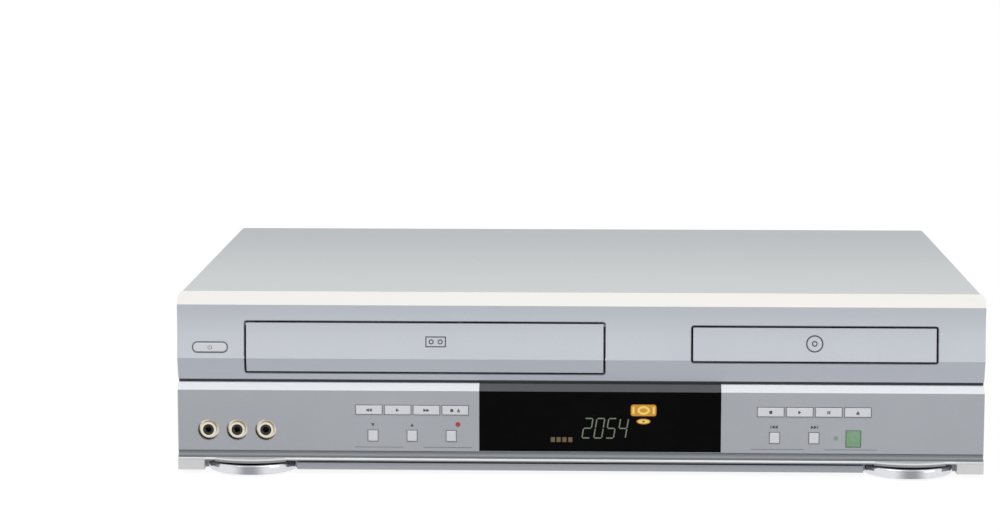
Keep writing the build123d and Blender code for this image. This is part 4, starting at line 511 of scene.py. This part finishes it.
# ---------------------------------------------------------------- symbols
SYMBOL = 1.9  # height of the symbols on the keys and over them
POINT = 0.85  # length of a triangle by its width


def arrow(x, z, size, way):
    """Solid triangle pointing right (1), left (-1), up (2) or down (-2)."""
    h = size / 2
    if abs(way) == 1:
        return [(x - way * h * POINT, z - h), (x + way * h * POINT, z),
                (x - way * h * POINT, z + h)]
    s = way / 2
    return [(x - h, z - s * h * POINT), (x + h, z - s * h * POINT), (x, z + s * h * POINT)]


def symbol(kind, x, z, size=SYMBOL):
    """Outlines of one transport symbol round a place, with its parts as shares of its size."""
    half = size / 2
    back = [arrow(x - half * POINT, z, size, -1), arrow(x + half * POINT, z, size, -1)]
    forward = [arrow(x - half * POINT, z, size, 1), arrow(x + half * POINT, z, size, 1)]
    shapes = {
        "play": [arrow(x, z, size, 1)],
        "rewind": back,
        "forward": forward,
        "stop": [box_outline(x, z, size * 0.85, size * 0.85)],
        "pause": [box_outline(x - half * 0.5, z, size * 0.3, size * 0.9),
                  box_outline(x + half * 0.5, z, size * 0.3, size * 0.9)],
        "eject": [arrow(x, z + size * 0.12, size, 2),
                  box_outline(x, z - size * 0.5, size, size * 0.18)],
        "stop_eject": [box_outline(x - size * 0.95, z, size * 0.8, size * 0.8),
                       arrow(x + size * 0.95, z + size * 0.12, size * 0.85, 2),
                       box_outline(x + size * 0.95, z - size * 0.42, size * 0.85, size * 0.15)],
        "down": [arrow(x, z, size, -2)],
        "up": [arrow(x, z, size, 2)],
        "dot": [oval(x, z, half * 0.9, half * 0.9)],
        "skip_back": [box_outline(x - size * 1.05, z, size * 0.2, size)] + back,
        "skip_forward": forward + [box_outline(x + size * 1.05, z, size * 0.2, size)],
    }
    return shapes[kind]


def printed(name, outlines, face, material, body="root"):
    """Ink on a surface that faces the front at Y = face."""
    verts, faces = several([prism([(x, face - PROUD - PRINT, z) for x, z in line],
                                  [(x, face - PROUD, z) for x, z in line]) for line in outlines])
    return piece(name, verts, faces, material, body)


KEY_SYMBOLS = {
    "rewind_key": "rewind", "tape_play_key": "play", "fast_forward_key": "forward",
    "tape_stop_key": "stop_eject", "disc_stop_key": "stop", "disc_play_key": "play",
    "pause_key": "pause", "open_close_key": "eject",
}
POWER_RING = (0.85, 1.2)  # inner and outer radius of the power sign's open ring
POWER_ARC = (130, 280)  # degrees where the ring starts and how far it runs
POWER_STEPS = 10
POWER_BAR = (0.35, 1.2, 0.7)  # width, height and rise of the bar in the ring's opening


def key_prints():
    """Signs on the keys, which move with them."""
    for name, kind in KEY_SYMBOLS.items():
        x, z, front = centre_of(name)
        printed(name + "_symbol", symbol(kind, x, z), front, PRINT_DARK, name)
    x, z, front = centre_of("power_key")
    width, height, rise = POWER_BAR
    mark = [box_outline(x, z + rise, width, height)]
    angles = [math.radians(POWER_ARC[0] + POWER_ARC[1] * i / POWER_STEPS)
              for i in range(POWER_STEPS + 1)]
    inner, outer = POWER_RING
    for start, stop in zip(angles, angles[1:]):
        mark.append([(x + r * math.cos(a), z + r * math.sin(a)) for r, a in
                     ((inner, start), (outer, start), (outer, stop), (inner, stop))])
    printed("power_key_symbol", mark, front, PRINT_GREY, "power_key")


OVER_KEYS = 5.9  # symbols stand this far above the small keys' centres
RECORD_DOT = (3.6, 0.4, 3.0)  # shift right and up from its key's symbol line, and its size
RULE_DROP = 6.2  # the rules lie this far under the small keys' centres
RULE_GAP = 5.4  # half of each rule's opening
RULE = 0.35  # width of a rule


def fascia_prints():
    """Symbols above the small keys and the rules under them."""
    places = {"channel_down_key": "down", "channel_up_key": "up", "skip_back_key": "skip_back",
              "skip_forward_key": "skip_forward"}
    outlines = []
    for name, kind in places.items():
        x, z, _ = centre_of(name)
        outlines += symbol(kind, x, z + OVER_KEYS)
    printed("fascia_symbols", outlines, FACE, PRINT_DARK)
    x, z, _ = centre_of("record_key")
    right, up, size = RECORD_DOT
    printed("record_dot", symbol("dot", x + right, z + OVER_KEYS + up, size), FACE, PRINT_RED)
    rules = []
    for first, last, before, after in (("channel_down_key", "record_key", 9.7, 11.1),
                                       ("skip_back_key", "scan_mode_key", 12.4, 12.8)):
        x, z, _ = centre_of(first)
        low, high = x - before, centre_of(last)[0] + after
        middle = (low + high) / 2
        for a, b in ((low, middle - RULE_GAP), (middle + RULE_GAP, high)):
            rules.append(box_outline((a + b) / 2, z - RULE_DROP, b - a, RULE))
    printed("fascia_rules", rules, FACE, PRINT_GREY)


# ---------------------------------------------------------------- upper front
SURROUND = 0.35  # width of the painted shade band seen round each opening
OPENINGS = (  # what fills each opening, its width, sill, head and corner
    ("cassette_door", 192.6, 54.5, 82.8, 1.4),
    ("tray_lid", 130.7, 61.5, 81.2, 1.4),
    ("power_key", 18.6, 65.85, 71.35, 2.4),
)
FALL = 3.6  # the front falls back by this much from the ridge to its lower edge
EDGE_DROP = 0.2  # the lower edge hangs this far under the heel
LEAN = 1.8  # the strip's foot lies this far behind the ridge
HOLLOW = 2.4  # four times the depth of the hollow between the two
SHADE_ROOT = 0.3  # the painted shade bands reach this far into the moulding
INK_ROOT = 0.02  # the ink of the signs reaches this far in, so that no gap shows
SIDE_ROWS = 12  # points along a lip's upright side
LEAST_SIDE = 3  # sides shorter than this stay whole


def front_y(z):
    """Y of the upper front's skin at a height: hollow above the ridge, falling back below it."""
    if z < RIDGE:
        return FACE + FALL * (RIDGE - z) / (RIDGE - HEEL + EDGE_DROP)
    share = (z - RIDGE) / (STRIP - RIDGE)
    return FACE + LEAN * share + HOLLOW * share * (1 - share)


def band_round(outer, inner):
    """Corners and faces of a thin band between two outlines, lying on the upper front's skin."""
    n = len(outer)
    verts = []
    for lift in (PROUD + PRINT, -SHADE_ROOT):
        for line in (outer, inner):
            verts += [(x, front_y(z) - lift, z) for x, z in line]
    faces = []
    for i in range(n):
        j = (i + 1) % n
        faces += [(i, j, n + j, n + i), (2 * n + i, 3 * n + i, 3 * n + j, 2 * n + j),
                  (i, 2 * n + i, 2 * n + j, j), (n + i, n + j, 3 * n + j, 3 * n + i)]
    return verts, faces


def split_sides(x0, x1, z0, z1, corner):
    """Rounded rectangle whose upright sides have points often enough to follow the hollow."""
    plain = rounded_outline(x0, x1, z0, z1, corner)
    points = []
    for a, b in zip(plain, plain[1:] + plain[:1]):
        upright = abs(a[0] - b[0]) < 0.01 and abs(a[1] - b[1]) > LEAST_SIDE
        steps = SIDE_ROWS if upright else 1
        points += [(a[0] + (b[0] - a[0]) * i / steps, a[1] + (b[1] - a[1]) * i / steps)
                   for i in range(steps)]
    return points


def painted_opening_shade():
    """Painted shade: dark bands round the cassette door, the disc tray's lid and the power key,
    where the openings' bevelled edges lie in shade.
    """
    shapes = []
    for name, width, z0, z1, corner in OPENINGS:
        x = centre_of(name)[0]
        x0, x1 = x - width / 2, x + width / 2
        outer = split_sides(x0 - SURROUND, x1 + SURROUND, z0 - SURROUND, z1 + SURROUND,
                            corner + SURROUND)
        shapes.append(band_round(outer, split_sides(x0, x1, z0, z1, corner)))
    verts, faces = several(shapes)
    piece("painted_opening_shade", verts, faces, PAINTED_EDGE_SHADE)


def on_front(name, outlines, body):
    """Ink laid on the upper front's hollow skin."""
    verts, faces = several([prism([(x, front_y(z) - PROUD - PRINT, z) for x, z in line],
                                  [(x, front_y(z) + INK_ROOT, z) for x, z in line])
                            for line in outlines])
    piece(name, verts, faces, PRINT_DARK, body)


DISC_SIGN = ((4.6, 0.7), (1.5, 0.6))  # radius and line of the disc's rim and of its hole
DISC_RISE = 0.6  # the sign stands this far above the lid's middle
TAPE_SIGN = (11.0, 5.2, 0.55)  # length of its long lines, their distance, and their width
TAPE_ENDS = (5.2, 4.7)  # distance of its short lines from its middle, and their length
TAPE_SHIFT = 6.0  # the cassette sign stands this far right of the door's middle
TAPE_HEIGHT = 72.0
REELS = (2.4, 1.35)  # distance of the reels from the sign's middle, and their radius


def pictograms():
    """A disc drawn on the tray's lid and a cassette on its door, to show what each takes."""
    x, z, _ = centre_of("tray_lid")
    disc = []
    for radius, width in DISC_SIGN:
        disc += ring_of(x, z + DISC_RISE, radius, width)
    on_front("lid_pictogram", disc, "tray")
    x, z = centre_of("cassette_door")[0] + TAPE_SHIFT, TAPE_HEIGHT
    width, height, line = TAPE_SIGN
    end, tall = TAPE_ENDS
    tape = [box_outline(x, z + height / 2, width, line),
            box_outline(x, z - height / 2, width, line),
            box_outline(x - end, z, line, tall), box_outline(x + end, z, line, tall)]
    apart, radius = REELS
    tape += ring_of(x - apart, z, radius, line, 24) + ring_of(x + apart, z, radius, line, 24)
    on_front("door_pictogram", tape, "door")


# ---------------------------------------------------------------- display
SEGMENTS = {  # lit strokes: top, upper left, upper right, middle, lower left, lower right, foot
    "0": "1110111", "2": "1011101", "4": "0111010", "5": "1101011",
}
NUMBER = "2054"  # plain number that the display shows
DIGIT_WIDTH = 4.2
DIGIT_HEIGHT = 10.6
DIGIT_PITCH = 6.3
STROKE = 0.62  # width of a lit stroke
SLANT = 0.16  # lean of a digit by its height
DIGITS_ACROSS = 54.8  # from the window's left edge to the first digit
DIGITS_UP = 7.4  # from the window's foot to the digits' foot
SIGNS_ACROSS = 87.6  # from the window's left edge to the middle of the amber signs
BLOCK_UP = 15.1  # from the digits' foot to the middle of the amber block
BLOCK = (6.8, 3.1, 1.3)  # half width, half height and corner of the amber block
DISC_UP = 9.1  # from the digits' foot to the middle of the small disc
LEVEL_ACROSS = 39.3  # from the window's left edge to the first dim bar
LEVEL_DROP = 1.0  # the dim bars' middles lie this far under the digits' foot
LEVEL_BAR = (2.2, 2.6)  # width and height of a dim bar
LEVEL_BARS = 4
LEVEL_PITCH = 3.1


def digit(text, x, z):
    """Outlines of a slanted seven-segment digit whose lower left corner is at the place."""
    w, h, t = DIGIT_WIDTH, DIGIT_HEIGHT, STROKE
    strokes = [(w / 2, h, w - t, t), (0, h * 0.75, t, h / 2 - t), (w, h * 0.75, t, h / 2 - t),
               (w / 2, h / 2, w - t, t), (0, h * 0.25, t, h / 2 - t), (w, h * 0.25, t, h / 2 - t),
               (w / 2, 0, w - t, t)]
    lit = [stroke for stroke, on in zip(strokes, SEGMENTS[text]) if on == "1"]
    return [[(x + px + SLANT * pz, z + pz) for px, pz in box_outline(*stroke)] for stroke in lit]


def display():
    """Lit segments seen through the window: four digits, an amber block with a ring, a small
    disc and four dim bars. The signs are laid in three layers."""
    first, second, third = (WINDOW_LOW[1] - layer * PRINT for layer in range(3))
    left, low = WINDOW_LOW[0], WINDOW_LOW[2] + DIGITS_UP
    outlines = []
    for i, text in enumerate(NUMBER):
        outlines += digit(text, left + DIGITS_ACROSS + i * DIGIT_PITCH, low)
    printed("display_digits", outlines, first, GLOW_SEGMENT)
    x, z = left + SIGNS_ACROSS, low + BLOCK_UP
    wide, high, corner = BLOCK
    block = rounded_outline(x - wide, x + wide, z - high, z + high, corner)
    printed("display_block", [block], first, GLOW_AMBER)
    mark = [box_outline(x - 5.4, z, 1.1, 3.8), box_outline(x + 5.4, z, 1.1, 3.8),
            oval(x, z, 3.3, 2.3)]
    printed("display_block_mark", mark, second, GLOW_PALE)
    holes = [oval(x, z, 2.1, 1.2), oval(x - 3.9, z, 0.4, 1.6), oval(x + 3.9, z, 0.4, 1.6)]
    printed("display_block_hole", holes, third, GLOW_AMBER)
    z = low + DISC_UP
    printed("display_disc", [oval(x, z, 3.7, 1.5)], first, GLOW_AMBER)
    printed("display_disc_glint", [oval(x, z, 2.9, 0.95)], second, GLOW_PALE)
    printed("display_disc_hole", [oval(x, z, 0.8, 0.45)], third, GLOW_DIM)
    bars = [box_outline(left + LEVEL_ACROSS + LEVEL_PITCH * i, low - LEVEL_DROP, *LEVEL_BAR)
            for i in range(LEVEL_BARS)]
    printed("display_level", bars, first, GLOW_DIM)


# ---------------------------------------------------------------- feet
FOOT_WALL = 2.0  # wall of the plated rings


def chrome_rings():
    """Plated rings of the front feet, with a rolled top and bottom edge."""
    low, high = span("foot_rings")
    radius = (high[1] - low[1]) / 2
    inner = radius - FOOT_WALL
    z0, z1 = low[2], high[2]
    profile = [(inner, z0), (radius - 0.9, z0), (radius - 0.3, z0 + 0.25), (radius, z0 + 0.8),
               (radius, z1 - 0.9), (radius - 0.25, z1 - 0.35), (radius - 0.8, z1), (inner, z1)]
    y = (low[1] + high[1]) / 2
    verts, faces = several([turned(profile, (x, y, 0), (0, 0, 1), 96)
                            for x in (low[0] + radius, high[0] - radius)])
    rings = piece("plated_foot_rings", verts, faces, SLOT_FINISH["foot_chrome"], smooth=True)
    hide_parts("foot_rings")


# ---------------------------------------------------------------- jacks and screws
def islands(name):
    """Lowest and highest corner, in millimetres, of every separate solid of a node."""
    loose = bmesh.new()
    loose.from_mesh(frame["nodes"][name].data)
    bmesh.ops.remove_doubles(loose, verts=loose.verts, dist=WELD * MM)
    left = set(loose.verts)
    found = []
    while left:
        group = [left.pop()]
        for vert in group:
            for edge in vert.link_edges:
                other = edge.other_vert(vert)
                if other in left:
                    left.discard(other)
                    group.append(other)
        found.append(([min(v.co[i] for v in group) / MM for i in range(3)],
                      [max(v.co[i] for v in group) / MM for i in range(3)]))
    loose.free()
    return sorted(found)


FLANGE = ((4.2, 4.4), (5.5, 4.4), (5.5, 5.0), (4.2, 5.0))  # radius, depth behind the fascia
INSULATOR = ((1.8, -0.75), (2.95, -0.75), (2.95, -0.35), (1.8, -0.35))  # radius, place in mouth
INSULATORS = {"yellow": ("#d9b62a", "#cda820"), "white": ("#e6e4dc", "#dbd8cf"),
              "red": ("#b5342f", "#a62c28")}  # in the order of the rear jacks' columns


def jack_rings():
    """Plated flanges at the roots of the front jacks, and the coloured rings of the rear ones."""
    flanges = []
    rings = {colour: [] for colour in INSULATORS}
    columns = []
    for low, high in islands("jack_shells"):
        x, z = (low[0] + high[0]) / 2, (low[2] + high[2]) / 2
        if low[1] < 0:  # in the front
            flanges.append(turned(FLANGE, (x, FACE, z), (0, 1, 0), 48))
            continue
        if round(x) not in columns:
            columns.append(round(x))
        colour = list(INSULATORS)[columns.index(round(x))]
        rings[colour].append(turned(INSULATOR, (x, high[1], z), (0, 1, 0), 40))
    verts, faces = several(flanges)
    piece("front_jack_flanges", verts, faces, SLOT_FINISH["jack_nickel"])
    for colour, shapes in rings.items():
        verts, faces = several(shapes)
        piece("rear_jack_rings_" + colour, verts, faces,
              moulded(colour + "_insulator", *INSULATORS[colour], 0.38))


SCREW = {"Head Radius": 3.5, "Head Height": 0.95, "Cross Width": 0.75, "Cross Length": 3.9,
         "Cross Depth": 0.7, "Shank Radius": 1.65, "Shank Length": 8.0}
CROWN = 0.74  # radius of the head's flat crown by the head's
CUTTER = 4.0  # height of the bars that cut the cross
SEAT_DEPTH = 1.0  # the head's seat lies this far under the solid's outer end
LEAST_SCREW = 7.5  # a screw is longer than this along its axis, and narrower across


def screw_tree(material):
    """Geometry Nodes tree that sets a pan-head screw with a cross recess on every point."""
    tree = bpy.data.node_groups.new("pan_head_screws", "GeometryNodeTree")
    face = tree.interface
    face.new_socket("Places", in_out="INPUT", socket_type="NodeSocketGeometry")
    for name, value in SCREW.items():
        socket = face.new_socket(name, in_out="INPUT", socket_type="NodeSocketFloat")
        socket.default_value = value * MM
    face.new_socket("Screws", in_out="OUTPUT", socket_type="NodeSocketGeometry")
    given = node(tree, "NodeGroupInput").outputs

    def moved(mesh, height):
        """The mesh, shifted along the screw."""
        offset = node(tree, "ShaderNodeCombineXYZ", {"Z": height}).outputs[0]
        return node(tree, "GeometryNodeTransform",
                    {"Geometry": mesh, "Translation": offset}).outputs[0]

    crown = sums(tree, "MULTIPLY", given["Head Radius"], CROWN)
    screw = node(tree, "GeometryNodeMeshCone", {
        "Vertices": 36, "Side Segments": 3, "Radius Top": crown,
        "Radius Bottom": given["Head Radius"], "Depth": given["Head Height"]}).outputs["Mesh"]
    floor_of_cross = sums(tree, "SUBTRACT", given["Head Height"], given["Cross Depth"])
    lift = sums(tree, "ADD", floor_of_cross, CUTTER / 2 * MM)
    for wide, long in (("Cross Width", "Cross Length"), ("Cross Length", "Cross Width")):
        size = node(tree, "ShaderNodeCombineXYZ", {"X": given[wide], "Y": given[long],
                                                   "Z": CUTTER * MM}).outputs[0]
        arm = node(tree, "GeometryNodeMeshCube", {"Size": size}).outputs["Mesh"]
        cut = node(tree, "GeometryNodeMeshBoolean", {"Mesh 1": screw, "Mesh 2": moved(arm, lift)},
                   operation="DIFFERENCE")
        screw = cut.outputs["Mesh"]
    shank = node(tree, "GeometryNodeMeshCylinder", {
        "Vertices": 20, "Radius": given["Shank Radius"],
        "Depth": given["Shank Length"]}).outputs["Mesh"]
    below = sums(tree, "MULTIPLY", given["Shank Length"], -0.5)
    joined = node(tree, "GeometryNodeJoinGeometry")
    for part in (screw, moved(shank, below)):
        tree.links.new(part, joined.inputs[0])
    way = node(tree, "GeometryNodeInputNamedAttribute", {"Name": "way"},
               data_type="FLOAT_VECTOR").outputs[0]
    turn = node(tree, "FunctionNodeAlignRotationToVector", {"Vector": way}, axis="Z").outputs[0]
    placed = node(tree, "GeometryNodeInstanceOnPoints", {
        "Points": given["Places"], "Instance": joined.outputs[0], "Rotation": turn}).outputs[0]
    real = node(tree, "GeometryNodeRealizeInstances", {"Geometry": placed}).outputs[0]
    made = node(tree, "GeometryNodeSetMaterial", {"Geometry": real, "Material": material})
    node(tree, "NodeGroupOutput", {0: made.outputs[0]})
    return tree


def cover_screws():
    """Blackened screws of the cover, standing where the frame has them."""
    seats, ways = [], []
    for low, high in islands("case_screws"):
        seat = [(a + b) / 2 for a, b in zip(low, high)]
        if high[0] - low[0] > LEAST_SCREW:
            way = (math.copysign(1, seat[0]), 0, 0)
            seat[0] = high[0] - SEAT_DEPTH if way[0] > 0 else low[0] + SEAT_DEPTH
        else:
            way = (0, 1, 0)
            seat[1] = high[1] - SEAT_DEPTH
        seats.append(Vector(seat) * MM)
        ways += way
    mesh = bpy.data.meshes.new("screw_seats")
    mesh.from_pydata(seats, [], [])
    mesh.attributes.new("way", "FLOAT_VECTOR", "POINT").data.foreach_set("vector", ways)
    holder = bpy.data.objects.new("screw_seats", mesh)
    bpy.context.scene.collection.objects.link(holder)
    grown = holder.modifiers.new("screws", "NODES")
    grown.node_group = screw_tree(SLOT_FINISH["screw_steel"])
    evaluated = holder.evaluated_get(bpy.context.evaluated_depsgraph_get())
    made = bpy.data.meshes.new_from_object(evaluated)
    holder.modifiers.remove(grown)
    bpy.data.objects.remove(holder)
    screws = bpy.data.objects.new("cross_recess_screws", made)
    bpy.context.scene.collection.objects.link(screws)
    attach(screws, "root")
    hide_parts("case_screws")


# ---------------------------------------------------------------- floor, light and camera
FLOOR_HALF = 6.0  # metres
FLOOR_GLOW = 1.14  # strength at which the lit floor shows white
FLOOR_SHARE = 0.8  # share of the glow in the floor, the rest of which takes the shadow
WORLD_LIGHT = 0.60  # strength of the surround as a light; it is seen at 1


def shown_as_background(tree):
    """1 for rays that show the white surround: the camera's, mirrored ones and those in glass."""
    ray = node(tree, "ShaderNodeLightPath").outputs
    bounced = sums(tree, "MAXIMUM", ray["Is Glossy Ray"], ray["Is Transmission Ray"])
    return sums(tree, "MAXIMUM", ray["Is Camera Ray"], bounced)


def floor():
    """Pale studio floor that stays white for the camera and keeps the shadow."""
    material, tree, shader = blank("pale_floor")
    shader.inputs["Base Color"].default_value = tint("#dcdcdc")
    shader.inputs["Roughness"].default_value = 0.9
    glow = node(tree, "ShaderNodeEmission", {"Color": (1, 1, 1, 1), "Strength": FLOOR_GLOW})
    share = sums(tree, "MULTIPLY", shown_as_background(tree), FLOOR_SHARE)
    mix = node(tree, "ShaderNodeMixShader", {0: share, 1: shader.outputs["BSDF"],
                                             2: glow.outputs["Emission"]})
    out = next(n for n in tree.nodes if n.type == "OUTPUT_MATERIAL")
    tree.links.new(mix.outputs[0], out.inputs["Surface"])
    mesh = bpy.data.meshes.new("studio_floor")
    corners = [(x * FLOOR_HALF, y * FLOOR_HALF, 0) for x, y in ((-1, -1), (1, -1), (1, 1), (-1, 1))]
    mesh.from_pydata(corners, [], [(0, 1, 2, 3)])
    mesh.materials.append(material)
    ground = bpy.data.objects.new("studio_floor", mesh)
    bpy.context.scene.collection.objects.link(ground)


def studio_world():
    """White surround for the camera and for reflections, softer for the light that it gives."""
    world = bpy.data.worlds.new("studio")
    world.use_nodes = True
    tree = world.node_tree
    tree.nodes.clear()
    strength = node(tree, "ShaderNodeMapRange", {"Value": shown_as_background(tree),
                                                 "To Min": WORLD_LIGHT, "To Max": 1.0})
    back = node(tree, "ShaderNodeBackground", {"Color": (1, 1, 1, 1),
                                               "Strength": strength.outputs[0]})
    node(tree, "ShaderNodeOutputWorld", {"Surface": back.outputs[0]})
    bpy.context.scene.world = world


def area_light(name, place, target, size, power):
    """Rectangular lamp facing a target, in metres and watts."""
    data = bpy.data.lights.new(name, "AREA")
    data.shape = "RECTANGLE"
    data.size, data.size_y = size
    data.energy = power
    lamp = bpy.data.objects.new(name, data)
    lamp.location = place
    facing = Vector(target) - Vector(place)
    lamp.rotation_euler = facing.to_track_quat("-Z", "Y").to_euler()
    bpy.context.scene.collection.objects.link(lamp)


def lights():
    """One wide softbox above the front, whose light fades towards the back of the cover, and a
    weak fill from the right."""
    area_light("front_softbox", (0.0, -0.75, 0.75), (0, -0.1, 0.09), (1.6, 0.5), 4.6)
    area_light("right_fill", (1.6, -1.2, 0.5), (0, 0, 0.05), (1.0, 1.0), 2.0)


EYE = (4.07, FACE - 1502.5, 320.8)  # place of the lens
LENS = 103.06  # focal length
SENSOR = 36.0  # width of the sensor
LOOK_DOWN = 0.1373  # radians
LOOK_LEFT = 0.0309  # radians


def camera():
    """Camera at the photograph's place: 1.5 m in front, looking slightly down."""
    data = bpy.data.cameras.new("camera")
    data.lens = LENS
    data.sensor_width = SENSOR
    eye = bpy.data.objects.new("camera", data)
    eye.location = Vector(EYE) * MM
    eye.rotation_euler = (math.pi / 2 - LOOK_DOWN, 0, LOOK_LEFT)
    bpy.context.scene.collection.objects.link(eye)
    bpy.context.scene.camera = eye


finish_nodes()
key_prints()
fascia_prints()
painted_opening_shade()
pictograms()
display()
chrome_rings()
jack_rings()
cover_screws()
floor()
studio_world()
lights()
camera()
bpy.context.scene.view_settings.view_transform = "Standard"
